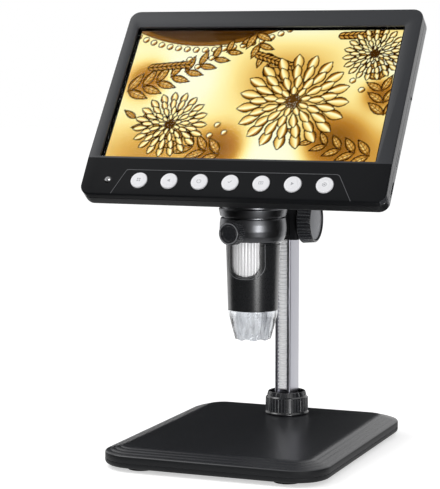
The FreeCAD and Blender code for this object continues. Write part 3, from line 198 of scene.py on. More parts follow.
def clear_material(name, colour, rough, ior, streaks=0.0):
    """See-through glass or polycarbonate; moulding streaks run down it where it has them."""
    material, tree = new_material(name)
    inputs = {"Base Color": linear(colour), "Roughness": rough, "IOR": ior, "Transmission Weight": 1.0}
    if streaks:
        streak_width, depth, change = 1.8, 0.2 * MM, 0.3
        flow = speckle(tree, streak_width, (1, 1, 0.1), detail=3.0).outputs["Fac"]
        bump = add(tree, "ShaderNodeBump", {"Height": flow, "Strength": streaks, "Distance": depth})
        inputs["Normal"] = bump.outputs[0]
        inputs["Base Color"] = tinted(tree, flow, colour, change).outputs[0]
    shader = add(tree, "ShaderNodeBsdfPrincipled", inputs)
    add(tree, "ShaderNodeOutputMaterial", {"Surface": shader.outputs[0]})
    return material


def glowing_picture(name):
    """Lit pixels: the panel's own light carries the colour, and its surface adds none."""
    material, tree = new_material(name)
    tint = add(tree, "ShaderNodeAttribute", attribute_name="picture")
    shader = add(tree, "ShaderNodeBsdfPrincipled", {
        "Base Color": linear("#000000"), "Roughness": 0.6, "Specular IOR Level": 0.0,
        "Emission Color": tint.outputs["Color"], "Emission Strength": 1.0,
    })
    add(tree, "ShaderNodeOutputMaterial", {"Surface": shader.outputs[0]})
    return material


def glow_material(name, colour, strength):
    """White plastic with its own glow: the lamp caps, and the painted glint by the infra-red window."""
    material, tree = new_material(name)
    shader = add(tree, "ShaderNodeBsdfPrincipled", {
        "Base Color": linear(colour), "Roughness": 0.3,
        "Emission Color": linear(colour), "Emission Strength": strength,
    })
    add(tree, "ShaderNodeOutputMaterial", {"Surface": shader.outputs[0]})
    return material


def circuit_board(name):
    """Green solder mask over copper: tracks show as a faint lighter net under a gloss."""
    material, tree = new_material(name)
    track_pitch = 2.4
    place = add(tree, "ShaderNodeTexCoord")
    inputs = {"Vector": place.outputs["Object"], "Scale": 1 / (track_pitch * MM)}
    cells = add(tree, "ShaderNodeTexVoronoi", inputs, feature="DISTANCE_TO_EDGE", distance="MANHATTAN")
    ramp = add(tree, "ShaderNodeValToRGB", {"Fac": cells.outputs["Distance"]})
    for stop, position, colour in zip(ramp.color_ramp.elements, (0.02, 0.09), ("#2f8a4b", "#12522a")):
        stop.position = position
        stop.color = linear(colour)
    shader = add(tree, "ShaderNodeBsdfPrincipled", {"Base Color": ramp.outputs[0], "Roughness": 0.32})
    add(tree, "ShaderNodeOutputMaterial", {"Surface": shader.outputs[0]})
    return material


# Black ABS with a satin polish: the base's cover throws a soft streak along its shoulder.
base_shell = moulded_plastic("satin_black_abs", "#2b2c2f", 0.30, 0.5, 0.10, gloss=0.45)
# Spark-eroded ABS: the rear cover's silky grain goes pale where the eye skims along it.
case_plastic = moulded_plastic("textured_black_abs", "#333437", 0.3, 0.45, 0.2, gloss=1.0)
# The same black made duller and darker as painted shade: base sides, tray, carriage block, the case's
# underside.
shade_dull_plastic = moulded_plastic("dull_black_abs_painted_shade", "#161719", 0.55, 0.45, 0.25, gloss=0.2)
# Charcoal satin paint on ABS: the frame is lighter than the button band below it, whose darker colour is
# painted shade.
frame_paint = moulded_plastic("charcoal_satin_paint", "#222428", 0.40, 0.4, 0.12, gloss=0.32)
# Black ABS of the button band, drawn darker and duller than the frame as painted shade where the band tips
# away from the light, so the white buttons stand out.
band_shade_plastic = moulded_plastic("button_band_abs_painted_shade", "#131416", 0.5, 0.4, 0.12, gloss=0.07)
# Hard black plastic of knobs and collar, whose rims and rounded edges catch sharp glints.
knob_plastic = moulded_plastic("black_fluted_plastic", "#222326", 0.24, 0.5, 0.08, gloss=0.9)
# The ribs, drawn paler than the plastic between them as painted highlight on their crests: they read as fine
# lines.
rib_highlight_plastic = moulded_plastic("black_ribs_painted_highlight", "#3e3f42", 0.26, 0.5, 0.05, gloss=0.8)
# The ring and neck: black anodised aluminium, turned and bead-blasted, with a broad metal sheen.
ring_metal = worked_metal("black_anodised_aluminium", "#76777a", 0.36, (1, 1, 6), 0.4, 0.02)
# Polished black ABS: the barrel shows one narrow bright streak between two dark sides.
barrel_plastic = moulded_plastic("satin_black_barrel_abs", "#1f2022", 0.29, 0.5, 0.06, gloss=0.85)
# Moulded rubber of the feet: flat black with no sheen.
foot_rubber = moulded_plastic("black_rubber", "#141414", 0.85, 0.6, 0.4, gloss=0.2)
# Satin anodised extrusion: the die's lines run down the column.
post_aluminium = worked_metal("satin_anodised_aluminium", "#b0b0b8", 0.34, (1, 1, 0.01), 0.5, 0.12)
# Moulded nylon: a bright milky strip in the column's channel.
rack_nylon = moulded_plastic("white_nylon", "#fbfbfc", 0.35, 0.6, 0.10, gloss=0.6, change=0.02)
# Zinc plate: cold grey glints on the screws, the drive shaft and the ports.
plated_steel = worked_metal("zinc_plated_steel", "#a9aaad", 0.3, (1, 1, 1), 0.6, 0.1)
# Phosphate coat: a dry, even mid grey on the weight.
weight_steel = moulded_plastic("phosphated_steel", "#5a5b5e", 0.6, 1.0, 0.3, gloss=0.4)
# Bright turned brass: yellow bands of light round the pinion and the clamp's insert.
turned_brass = worked_metal("turned_brass", "#d9b25a", 0.25, (1, 1, 8), 0.5, 0.08)
# Blasted aluminium: the lift knob's disc is a quiet grey with soft mottling.
disc_metal = worked_metal("satin_aluminium_disc", "#75767a", 0.38, (1, 1, 1), 0.8, 0.12)
# Chrome plate on plastic, drawn as a mostly diffuse silvery white that is a painted reflection of the white
# surroundings: the flutes look white, not mirrored.
chrome_painted_reflection = worked_metal("chrome_plate_painted_reflection", "#fbfbfc", 0.34, (1, 1, 0.05), 1.0, 0.0,
                            change=0.02, metallic=0.2)
# Clear polycarbonate with moulding streaks: what is behind the nose wavers in upright bands.
nose_plastic = clear_material("clear_polycarbonate", "#dfe1e4", 0.08, 1.49, streaks=0.9)
# Coated glass: clear with a faint blue cast.
lens_glass = clear_material("coated_lens_glass", "#dfe8f7", 0.0, 1.52)
# Cover glass with an antireflective coat. Its low IOR stands for the coat: the picture shows
# through with next to no reflection on it.
cover_sheet = clear_material("antireflective_glass", "#ffffff", 0.0, 1.08)
# Black printing round the picture: the deepest black of the face.
panel_black = moulded_plastic("black_mask_print", "#020202", 0.7, 0.5, 0.05, gloss=0.05)
# The lit picture, bright in its own colours.
picture_light = glowing_picture("lit_panel_pixels")
# Glossy green of the boards, with a faint net of tracks.
board_green = circuit_board("green_solder_mask")
# Matt near-black resin of the chips and switches.
chip_plastic = moulded_plastic("moulded_epoxy", "#222225", 0.55, 0.3, 0.2, gloss=0.4)
# Warm white caps of the lamps round the lens, with a slight glow.
lamp_cap = glow_material("white_lamp_cap", "#fff8e6", 0.35)
# A glowing white dot beside the infra-red window: a painted glint, plain white.
glint_glow = glow_material("painted_glint_glow", "#ffffff", 1.0)
# Laminated foil of the battery: a crumpled, silky silver.
cell_wrap = worked_metal("pouch_cell_foil", "#9ea2aa", 0.4, (1, 1, 1), 2.0, 0.2)
# Satin white ABS of the buttons, which shades softly to grey on the rims and in the ring line.
key_plastic = moulded_plastic("white_button_abs", "#e3e3e6", 0.38, 0.5, 0.06, gloss=0.5, change=0.02)
# Pad-printed ink: pale grey signs with no relief; the same grey draws the painted highlight arc on the
# infra-red window.
print_and_highlight_grey = moulded_plastic("grey_pad_print_and_painted_highlight", "#a7a8ac", 0.5, 0.5, 0.05, gloss=0.3)
# Crest of the band's moulded line: a thin mid-grey stroke.
band_line_grey = moulded_plastic("band_line_crest_grey", "#4c4d50", 0.5, 0.5, 0.05, gloss=0.4)
# Pale grey lines as painted highlight: round the window and on the clamp knob's rim.
edge_highlight = moulded_plastic("edge_painted_highlight_grey", "#6c6d70", 0.35, 0.5, 0.0, gloss=0.6)
# Infra-red window: glossy, almost black with a trace of red.
eye_glass = moulded_plastic("dark_infrared_window", "#070506", 0.08, 0.5, 0.0, gloss=0.7)
# Undyed nylon of the glides and pads: an off-white with a soft sheen.
pad_nylon = moulded_plastic("natural_nylon", "#d8d7cd", 0.5, 0.6, 0.1, gloss=0.4)
# Polyimide film of the flat cable: a clear amber-brown gloss.
flex_film = moulded_plastic("amber_polyimide_film", "#b0661f", 0.35, 0.8, 0.05, gloss=0.5)

NODE_FINISHES = {
    "shell_black": base_shell, "case_black": shade_dull_plastic, "knob_black": knob_plastic,
    "foot_rubber": foot_rubber, "post_aluminium": post_aluminium, "rack_nylon": rack_nylon,
    "steel": plated_steel, "weight_steel": weight_steel, "brass": turned_brass,
    "knob_disc": disc_metal, "focus_chrome": chrome_painted_reflection, "nose_clear": nose_plastic,
    "lens_glass": lens_glass, "screen_cover": cover_sheet, "panel": panel_black,
    "circuit_green": board_green, "chip_black": chip_plastic, "led_white": lamp_cap,
    "cell_silver": cell_wrap, "key_white": key_plastic, "eye_dark": eye_glass,
    "pad_nylon": pad_nylon, "flex_amber": flex_film,
}


# Shape helpers

def eased(points, radius=0.0, steps=5, closed=True):
    """Round a polyline's corners; a third value on a point is that corner's own radius."""
    result = []
    count = len(points)
    for i, point in enumerate(points):
        here = Vector(point[:2])
        wanted = point[2] if len(point) > 2 else radius
        if wanted <= 0 or (not closed and i in (0, count - 1)):
            result.append(tuple(here))
            continue
        back = Vector(points[i - 1][:2]) - here
        ahead = Vector(points[(i + 1) % count][:2]) - here
        angle = back.angle(ahead)
        reach = min(wanted / math.tan(angle / 2), 0.49 * back.length, 0.49 * ahead.length)
        start = here + back.normalized() * reach
        end = here + ahead.normalized() * reach
        for step in range(steps + 1):
            t = step / steps
            result.append(tuple(start * (1 - t) ** 2 + here * 2 * t * (1 - t) + end * t ** 2))
    return result


def skinned(rings, closed=False, caps=True):
    """Skin over rings of points; where they aren't closed on themselves, the ends are capped."""
    shape = bmesh.new()
    made = [[shape.verts.new(point) for point in ring] for ring in rings]
    pairs = list(zip(made, made[1:]))
    if closed:
        pairs.append((made[-1], made[0]))
    for low, high in pairs:
        for i in range(len(low)):
            j = (i + 1) % len(low)
            shape.faces.new((low[i], low[j], high[j], high[i]))
    if caps and not closed:
        shape.faces.new(made[0])
        shape.faces.new(made[-1])
    return clean(shape)


def clean(shape):
    """Merge doubles and turn the faces outwards."""
    bmesh.ops.remove_doubles(shape, verts=shape.verts, dist=1e-4)
    bmesh.ops.dissolve_degenerate(shape, dist=1e-5, edges=shape.edges)
    bmesh.ops.recalc_face_normals(shape, faces=shape.faces)
    return shape


def turned(profile, count=96, ripple=None):
    """Turn a profile of (radius, height) points about Z.

    A profile that starts and ends on the axis is closed there, and any other one on itself.
    """
    rings = []
    for radius, height in profile:
        ring = []
        for i in range(count):
            angle = 2 * math.pi * i / count
            r, z = ripple(radius, height, angle) if ripple else (radius, height)
            ring.append((r * math.cos(angle), r * math.sin(angle), z))
        rings.append(ring)
    on_axis = profile[0][0] < 1e-6 and profile[-1][0] < 1e-6
    return skinned(rings, closed=not on_axis, caps=False)


def rounded_ring(left, right, low, high, radius, level, steps=8):
    """Points of a rounded rectangle at one level."""
    ring = []
    corners = ((right - radius, high - radius), (left + radius, high - radius),
               (left + radius, low + radius), (right - radius, low + radius))
    for quarter, (x, y) in enumerate(corners):
        for i in range(steps + 1):
            angle = math.radians(90 * (quarter + i / steps))
            ring.append((x + radius * math.cos(angle), y + radius * math.sin(angle), level))
    return ring


def inset_ring(sides, corner, inset, level, steps=8):
    """Ring of a rounded rectangle drawn in on all sides."""
    left, right, low, high = sides
    return rounded_ring(left + inset, right - inset, low + inset, high - inset,
                        max(corner - inset, 0.3), level, steps)


def prism(outline, low, high, edge=0.0, steps=3):
    """Upright prism over a flat outline, its two rims rounded."""
    shape = skinned([[(x, y, z) for x, y in outline] for z in (low, high)])
    if edge:
        rims = [e for e in shape.edges if abs(e.verts[0].co.z - e.verts[1].co.z) < 1e-6]
        bmesh.ops.bevel(shape, geom=rims, offset=edge, segments=steps, affect="EDGES", profile=0.5)
        clean(shape)
    return shape


def block(left, right, near, far, low, high, edge=0.0):
    """Box given by its sides."""
    return prism(((left, near), (right, near), (right, far), (left, far)), low, high, edge)


def disc(radius, low, high, x=0.0, y=0.0, count=64):
    """Upright round rod."""
    turn = [2 * math.pi * i / count for i in range(count)]
    outline = [(x + radius * math.cos(a), y + radius * math.sin(a)) for a in turn]
    return prism(outline, low, high)


def swept(path, radius, count=8):
    """Round rod along a path of points."""
    rings = []
    for i, here in enumerate(path):
        along = (path[min(i + 1, len(path) - 1)] - path[max(i - 1, 0)]).normalized()
        side = along.cross(Vector((0, 1, 0))).normalized()
        rise = along.cross(side)
        turn = [2 * math.pi * k / count for k in range(count)]
        rings.append([here + (side * math.cos(a) + rise * math.sin(a)) * radius for a in turn])
    return skinned(rings)


def joined(*shapes):
    """Several closed shells as one shape."""
    whole = shapes[0]
    for shape in shapes[1:]:
        spare = bpy.data.meshes.new("spare")
        shape.to_mesh(spare)
        shape.free()
        whole.from_mesh(spare)
        bpy.data.meshes.remove(spare)
    return whole


def carved(shape, *cutters):
    """Cut closed shapes out of a closed shape."""
    spares = []
    for part in (shape,) + cutters:
        mesh = bpy.data.meshes.new("spare")
        part.to_mesh(mesh)
        part.free()
        spare = bpy.data.objects.new("spare", mesh)
        bpy.context.scene.collection.objects.link(spare)
        spares.append(spare)
    for cutter in spares[1:]:
        change = spares[0].modifiers.new("cut", "BOOLEAN")
        change.operation = "DIFFERENCE"
        change.solver = "EXACT"
        change.object = cutter
    graph = bpy.context.evaluated_depsgraph_get()
    result = bmesh.new()
    result.from_object(spares[0], graph)
    for spare in spares:
        mesh = spare.data
        bpy.data.objects.remove(spare)
        bpy.data.meshes.remove(mesh)
    return result


def hang(name, mesh, body, stands_for):
    """Link a finished mesh as a piece that rides on its body."""
    piece = bpy.data.objects.new(name, mesh)
    bpy.context.scene.collection.objects.link(piece)
    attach(piece, body)
    if stands_for:
        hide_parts(*stands_for)
    return piece


def make_piece(name, shape, where, finishes, body, stands_for=(), sharp=32, pick=None, crease=None):
    """Make a shape a finished piece.

    Edges sharper than sharp degrees stay sharp, and so do those that crease picks. Where a piece
    has several finishes, pick gives the number of each face's own.
    """
    for face in shape.faces:
        face.material_index = pick(face.calc_center_median(), face.normal) if pick else 0
    creased = []
    if crease:
        shape.edges.index_update()
        creased = [edge.index for edge in shape.edges if crease(edge)]
    shape.transform(Matrix.Scale(MM, 4) @ where)
    mesh = bpy.data.meshes.new(name)
    shape.to_mesh(mesh)
    shape.free()
    for finish in finishes if isinstance(finishes, (list, tuple)) else (finishes,):
        mesh.materials.append(finish)
    mesh.shade_smooth()
    mesh.set_sharp_from_angle(angle=math.radians(sharp))
    for index in creased:
        mesh.edges[index].use_edge_sharp = True
    return hang(name, mesh, body, stands_for)


# Repeated things, made with Geometry Nodes

def tree_inputs(tree, names):
    """Named inputs of a tree; a word in capitals gives its kind."""
    kinds = {"COUNT": "NodeSocketInt", "LENGTH": "NodeSocketFloat", "FINISH": "NodeSocketMaterial"}
    for name, kind in names:
        tree.interface.new_socket(name, in_out="INPUT", socket_type=kinds[kind])
    tree.interface.new_socket("Geometry", in_out="OUTPUT", socket_type="NodeSocketGeometry")
    return add(tree, "NodeGroupInput").outputs


def close_tree(tree, geometry, finish):
    """Realise the instances, smooth them and give them their finish."""
    real = add(tree, "GeometryNodeRealizeInstances", {"Geometry": geometry})
    smooth = add(tree, "GeometryNodeSetShadeSmooth", {"Geometry": real.outputs[0]})
    dressed = add(tree, "GeometryNodeSetMaterial", {"Geometry": smooth.outputs[0], "Material": finish})
    add(tree, "NodeGroupOutput", {"Geometry": dressed.outputs[0]})
    return tree


def around_axis(tree, count, shape):
    """Instances of a shape at even turns about Z."""
    points = add(tree, "GeometryNodeMeshLine", {"Count": count, "Offset": (0, 0, 0)})
    number = add(tree, "GeometryNodeInputIndex")
    part = add(tree, "ShaderNodeMath", {0: number.outputs[0], 1: count}, operation="DIVIDE")
    turn = add(tree, "ShaderNodeMath", {0: part.outputs[0], 1: 2 * math.pi}, operation="MULTIPLY")
    vector = add(tree, "ShaderNodeCombineXYZ", {"Z": turn.outputs[0]})
    rotation = add(tree, "FunctionNodeEulerToRotation", {0: vector.outputs[0]})
    inputs = {"Points": points.outputs[0], "Instance": shape, "Rotation": rotation.outputs[0]}
    return add(tree, "GeometryNodeInstanceOnPoints", inputs).outputs[0]


def rib_tree():
    """Round ribs, each from a low radius and height to a high one, at even turns about Z."""
    tree = bpy.data.node_groups.new("ribs_round_axis", "GeometryNodeTree")
    sizes = tree_inputs(tree, (
        ("Count", "COUNT"), ("Sides", "COUNT"), ("Low Radius", "LENGTH"), ("High Radius", "LENGTH"),
        ("Low", "LENGTH"), ("High", "LENGTH"), ("Thickness", "LENGTH"), ("Finish", "FINISH"),
    ))
    start = add(tree, "ShaderNodeCombineXYZ", {"X": sizes["Low Radius"], "Z": sizes["Low"]})
    end = add(tree, "ShaderNodeCombineXYZ", {"X": sizes["High Radius"], "Z": sizes["High"]})
    line = add(tree, "GeometryNodeCurvePrimitiveLine", {"Start": start.outputs[0], "End": end.outputs[0]})
    section = add(tree, "GeometryNodeCurvePrimitiveCircle",
                  {"Resolution": sizes["Sides"], "Radius": sizes["Thickness"]})
    rib = add(tree, "GeometryNodeCurveToMesh",
              {"Curve": line.outputs[0], "Profile Curve": section.outputs[0], "Fill Caps": True})
    return close_tree(tree, around_axis(tree, sizes["Count"], rib.outputs[0]), sizes["Finish"])


def grown(name, tree, values, where, body, stands_for=(), sharp=32):
    """Run a tree with its inputs set and keep the result as a plain piece."""
    seed = bpy.data.objects.new(name + "_seed", bpy.data.meshes.new(name + "_seed"))
    bpy.context.scene.collection.objects.link(seed)
    growth = seed.modifiers.new("growth", "NODES")
    growth.node_group = tree
    for socket in tree.interface.items_tree:
        if socket.in_out == "INPUT":
            growth[socket.identifier] = values[socket.name]
    graph = bpy.context.evaluated_depsgraph_get()
    mesh = bpy.data.meshes.new_from_object(seed.evaluated_get(graph))
    bare = seed.data
    bpy.data.objects.remove(seed)
    bpy.data.meshes.remove(bare)
    mesh.name = name
    mesh.transform(Matrix.Scale(MM, 4) @ where)
    mesh.set_sharp_from_angle(angle=math.radians(sharp))
    return hang(name, mesh, body, stands_for)


RIBS = rib_tree()


def ribs(name, count, low, high, thickness, finish, where, body, sides=10):
    """Ribs from low to high, each a (radius, height) pair."""
    values = {"Count": count, "Sides": sides, "Low Radius": low[0], "High Radius": high[0],
              "Low": low[1], "High": high[1], "Thickness": thickness, "Finish": finish}
    return grown(name, RIBS, values, where, body)


# Base and column

def make_base():
    """Weighted foot: a flat shell whose shoulder falls in three soft steps to its upright lip."""
    sides, corner = (-63.5, 63.5, -80.5, 80.5), 19
    steps = [(0.25, 5.0), (0.0, 5.25), (0.0, 8.1), (0.1, 8.5), (0.4, 8.85), (1.0, 9.1)]
    # Each step is a sloping tread, then a small rounded riser that draws a fine line of light.
    for inset, level in ((3.0, 9.8), (5.7, 10.55), (8.5, 11.3)):
        steps += [(inset - 0.45, level - 0.2), (inset - 0.12, level - 0.15), (inset + 0.06, level)]
    steps += [(10.4, 11.72), (11.6, 11.9), (13.2, 12.0)]
    rings = [inset_ring(sides, corner, inset, level, 16) for inset, level in steps]
    hollow = [(15, 9.6), (14.4, 9.6), (9, 8.2), (2.4, 6.6), (2.4, 5.0)]
    rings = [inset_ring(sides, corner, inset, level, 16) for inset, level in hollow] + rings
    bore, lip = 10.45, 8.6
    shape = carved(skinned(rings), disc(bore, 4, 13, 0, POST_Y))

    # The upright sides below the lip take the darker plastic as painted shade.
    def finish_of(point, normal):
        return 1 if point.z < lip and abs(normal.z) < 0.6 else 0
    make_piece("base_cover", shape, ON_FLOOR, (base_shell, shade_dull_plastic), "stand",
               ["base_top_cover"], sharp=50, pick=finish_of)


def make_column():
    """Extruded column with a channel for the rack, its corners broken by the extrusion die."""
    outline = eased((
        (-4.7, -8.05, 0.9), (-2.7, -8.05, 0.25), (-2.7, -5.11, 0.2), (2.7, -5.11, 0.2),
        (2.7, -8.05, 0.25), (4.7, -8.05, 0.9), (4.7, 8.05, 0.9), (-4.7, 8.05, 0.9),
    ), steps=4)
    make_piece("column", prism(outline, COLUMN_LOW, COLUMN_HIGH), ON_POST, post_aluminium, "stand",
               ["post"], sharp=40)
    cap_outline = eased(((-5.1, -8.45), (5.1, -8.45), (5.1, 8.45), (-5.1, 8.45)), 0.9)
    cap = prism(cap_outline, COLUMN_HIGH, COLUMN_HIGH + 2.4, 0.7)
    make_piece("column_cap", cap, ON_POST, knob_plastic, "stand", ["post_top_cap"])


def make_collar():
    """Lock collar: a flared skirt with fine ribs, a rolled shoulder and a slotted cone."""
    profile = eased((
        (10.6, 12.4), (12.8, 12.4, 0.25), (12.75, 13.0, 0.4), (12.15, 13.9, 1.0), (12.0, 21.9, 0.5),
        (11.3, 22.7, 0.5), (10.5, 25.3, 0.3), (9.7, 25.3, 0.2), (9.7, 22.3), (10.6, 22.3),
    ), steps=6)
    make_piece("lock_collar", turned(profile, 144), ON_POST, knob_plastic, "post_collar",
               ["post_lock_collar"])
    # The ribs take the paler plastic as painted highlight.
    ribs("collar_ribs", 38, (12.0, 14.0), (11.85, 21.6), 0.56, rib_highlight_plastic, ON_POST,
         "post_collar")
    ribs("collar_cone_ribs", 24, (11.05, 22.8), (10.4, 25.1), 0.5, rib_highlight_plastic, ON_POST,
         "post_collar")


# Carriage, drive and clamp

def make_carriage():
    """Turned ring that holds the scope, on a block that slides along the column."""
    ring = turned(eased((
        (14.8, 119.1, 0.3), (16.9, 119.1, 0.7), (18.05, 122.0, 5.0), (18.55, 125.2, 5.0),
        (18.4, 128.7, 4.0), (17.95, 131.7, 0.5), (14.8, 131.7, 0.3),
    ), steps=8), 144)
    outline = eased(((-13.5, 35.75, 2.0), (13.5, 35.75, 2.0), (13.5, 61.8), (6.0, 61.8),
                     (6.0, 47.65), (-6.0, 47.65), (-6.0, 61.8), (-13.5, 61.8)), steps=5)
    block_shape = prism(outline, 116.1, 145.9, 0.5)
    arm = block(-9.0, 9.0, 15.5, 36.5, 118.9, 130.7, 0.4)
    make_piece("carriage_ring", ring, ON_OPTIC, ring_metal, "carriage",
               ["carriage_frame"])
    # The block takes the darker plastic as painted shade, for the deep shadow it sits in.
    make_piece("carriage_block", joined(block_shape, arm), ON_OPTIC, shade_dull_plastic, "carriage")


def make_lift_knob():
    """Rack knob: a ribbed drum with a rim round a recessed turned disc."""
    drum = turned(eased((
        (2.0, 14.0), (12.2, 14.0, 0.4), (12.75, 14.6, 0.3), (12.15, 21.9, 0.3), (11.8, 22.3, 0.3),
        (11.35, 22.3, 0.15), (11.3, 20.9), (2.0, 20.9),
    ), steps=4), 144)
    make_piece("lift_drum", drum, ON_SHAFT, knob_plastic, "lift_drive", ["lift_knob"])
    # The ribs take the paler plastic as painted highlight.
    ribs("lift_drum_ribs", 40, (12.6, 14.7), (12.0, 21.9), 0.42, rib_highlight_plastic, ON_SHAFT,
         "lift_drive")
    face = turned(eased((
        (0.0, 20.95), (11.2, 20.95), (11.2, 21.3, 0.1), (10.7, 21.62, 6.0), (5.0, 22.05, 9.0), (0.0, 22.2),
    ), steps=5, closed=False), 96)
    make_piece("lift_face", face, ON_SHAFT, disc_metal, "lift_drive", ["knob_face_disc"])


def make_clamp_knob():
    """Thumb knob on the ring: fine ribs, a rim and a dished end with a turned ring line."""
    head = turned(eased((
        (0.0, 23.15), (2.0, 23.15), (2.0, 19.15), (5.7, 19.15, 0.3), (6.3, 19.9, 0.3),
        (6.3, 26.4, 0.3), (5.85, 27.15, 0.4), (5.1, 27.1, 0.25), (4.85, 26.5, 0.2), (4.3, 26.42, 0.1),
        (4.15, 26.6, 0.1), (3.9, 26.42, 0.1), (0.0, 26.35),
    ), steps=4, closed=False), 96)

    # The crest of the rim round the dished end takes the pale grey as painted highlight.
    def finish_of(point, normal):
        return 1 if 5.2 < math.hypot(point.x, point.y) < 5.8 and point.z > 26.6 else 0
    make_piece("clamp_head", head, ON_CLAMP, (knob_plastic, edge_highlight), "clamp_screw",
               ["clamp_knob"], pick=finish_of)
    # The ribs take the paler plastic as painted highlight.
    ribs("clamp_head_ribs", 34, (6.28, 20.1), (6.28, 26.2), 0.27, rib_highlight_plastic, ON_CLAMP,
         "clamp_screw", 8)


# Neck, barrel and optics

def make_neck():
    """Neck under the display: a turned flange and a tube cut off along the case's back."""
    tube = turned(eased((
        (14.5, 131.75), (16.1, 131.75), (16.1, 132.45), (17.7, 132.45, 0.3), (18.2, 132.9, 0.4),
        (18.95, 136.7, 0.5), (18.6, 137.1, 0.3), (17.0, 137.1, 0.3), (17.0, 205.0), (15.0, 205.0),
        (15.0, 136.4), (9.5, 136.4), (9.5, 134.4), (14.5, 134.4),
    ), steps=6), 144)
    back = ON_OPTIC.inverted() @ ON_DISPLAY @ Vector((0, 0, -CASE_DEPTH))
    outward = ON_DISPLAY.to_3x3() @ Vector((0, 0, 1))
    parts = tube.verts[:] + tube.edges[:] + tube.faces[:]
    bmesh.ops.bisect_plane(tube, geom=parts, plane_co=back, plane_no=outward, clear_outer=True)
    bmesh.ops.holes_fill(tube, edges=[edge for edge in tube.edges if edge.is_boundary])
    clean(tube)
    make_piece("neck", tube, ON_OPTIC, ring_metal, "head", ["neck_housing"], sharp=40)


def window_outline(half, low, high):
    """Outline (x, z) of an upright window whose foot is a squarish, flattened half round."""
    squareness, flatness, steps = 0.8, 0.8, 40
    outline = [(-half, high)]
    for i in range(steps + 1):
        angle = math.pi + math.pi * i / steps
        across, down = math.cos(angle), -math.sin(angle)
        x = half * math.copysign(abs(across) ** squareness, across)
        outline.append((x, low + flatness * half * (1 - max(down, 0.0) ** squareness)))
    return outline + [(half, high)]


def window_cutter(half, low, high, near, far, flare):
    """Cutter along -Y from near to far, wider at its far end by flare."""
    rings = []
    for depth, extra in ((near, 0.0), (far, flare)):
        rings.append([(x, -depth, z) for x, z in window_outline(half + extra, low - extra, high)])
    return skinned(rings)


def make_barrel():
    """Tapered barrel with a U-shaped window whose edge is bevelled in two fine lines."""
    shell = turned((
        (11.55, 80.7), (13.65, 80.7), (13.85, 80.9), (14.08, 88.0), (14.5, 103.0), (14.9, 117.0),
        (14.5, 117.4), (14.5, 134.35), (9.5, 134.35), (9.5, 132.4), (12.7, 132.4), (12.7, 97.05),
        (11.55, 97.05),
    ), 192)
    through = window_cutter(8.8, 100.2, 121.0, 0.0, 16.0, 0.0)
    bevel = window_cutter(9.0, 100.0, 121.0, 12.6, 14.6, 1.0)
    shape = carved(shell, through, bevel)
    barrel = make_piece("barrel", shape, ON_OPTIC, barrel_plastic, "head",
                        ["scope_barrel"], sharp=24)

    # The cut leaves long triangles, so the outer wall takes the normals of the plain cone it was.
    def outwards(point):
        return Vector((point.x, point.y - OPTIC_Y * MM, 0)).normalized()

    # Faces within 10 degrees of facing straight out lie on the wall, which leans in to its foot.
    on_wall, taper = math.cos(math.radians(10)), Vector((0, 0, -0.03))
    mesh = barrel.data
    normals = [tuple(corner.vector) for corner in mesh.corner_normals]
    for face in mesh.polygons:
        if face.normal.dot(outwards(face.center)) > on_wall:
            for loop in face.loop_indices:
                point = mesh.vertices[mesh.loops[loop].vertex_index].co
                normals[loop] = tuple((outwards(point) + taper).normalized())
    mesh.normals_split_custom_set(normals)


def make_window_bead():
    """Fine raised bead round the window, drawn pale grey as painted highlight that outlines the window."""
    foot_radius, foot_level, widening = 13.87, 80.9, 0.0286
    points = []
    for x, z in window_outline(10.8, 98.7, 118.0):
        radius = foot_radius + (z - foot_level) * widening
        points.append(Vector((x, -math.sqrt(radius ** 2 - x ** 2), z)))
    make_piece("window_bead", swept(points, 0.2), ON_OPTIC, edge_highlight, "head")


def make_focus_wheel():
    """Chromed focus wheel with broad upright flutes."""
    flutes, depth = 40, 0.5

    def flute(radius, height, angle):
        if radius > 12.0 and 97.3 < height < 123.9:
            return radius - depth * (0.5 - 0.5 * math.cos(flutes * angle)) ** 2, height
        return radius, height
    profile = ((9.1, 97.1), (11.7, 97.1), (11.95, 97.4), (12.4, 97.8), (12.4, 123.4), (11.95, 123.8),
               (11.7, 124.1), (9.1, 124.1))
    # Its finish is mostly a diffuse white: a painted reflection of the white surroundings.
    make_piece("chrome_wheel", turned(profile, 480, flute), ON_OPTIC, chrome_painted_reflection, "focus_ring",
               ["focus_wheel"], sharp=40)


def make_nose():
    """Clear shroud: it tapers to a wavy mouth, with shallow upright lobes."""
    lobes, top, mouth, swell, lift = 8, 80.0, 64.0, 0.03, 0.9

    def lobe(radius, height, angle):
        fall = max(0.0, (top - height) / (top - mouth))
        wave = math.cos(lobes * angle)
        return radius * (1 + swell * fall * wave), height + (lift * fall ** 3) * (0.5 + 0.5 * wave)
    profile = eased((
        (8.7, 64.0, 0.4), (10.1, 64.0, 0.5), (11.4, 69.0), (13.2, 76.0, 3.0), (13.7, 77.9, 1.0),
        (13.8, 80.65, 0.2), (11.5, 80.65), (11.5, 82.9), (10.1, 82.9), (10.0, 77.7, 1.0),
        (9.4, 70.0),
    ), steps=4)
    make_piece("clear_nose", turned(profile, 192, lobe), ON_OPTIC, nose_plastic, "head",
               ["nose_cone"], sharp=45)


# Display

def button_across(number):
    """Place of a button along the row, whose middle is the face's."""
    return (number - (BUTTON_COUNT + 1) / 2) * BUTTON_PITCH


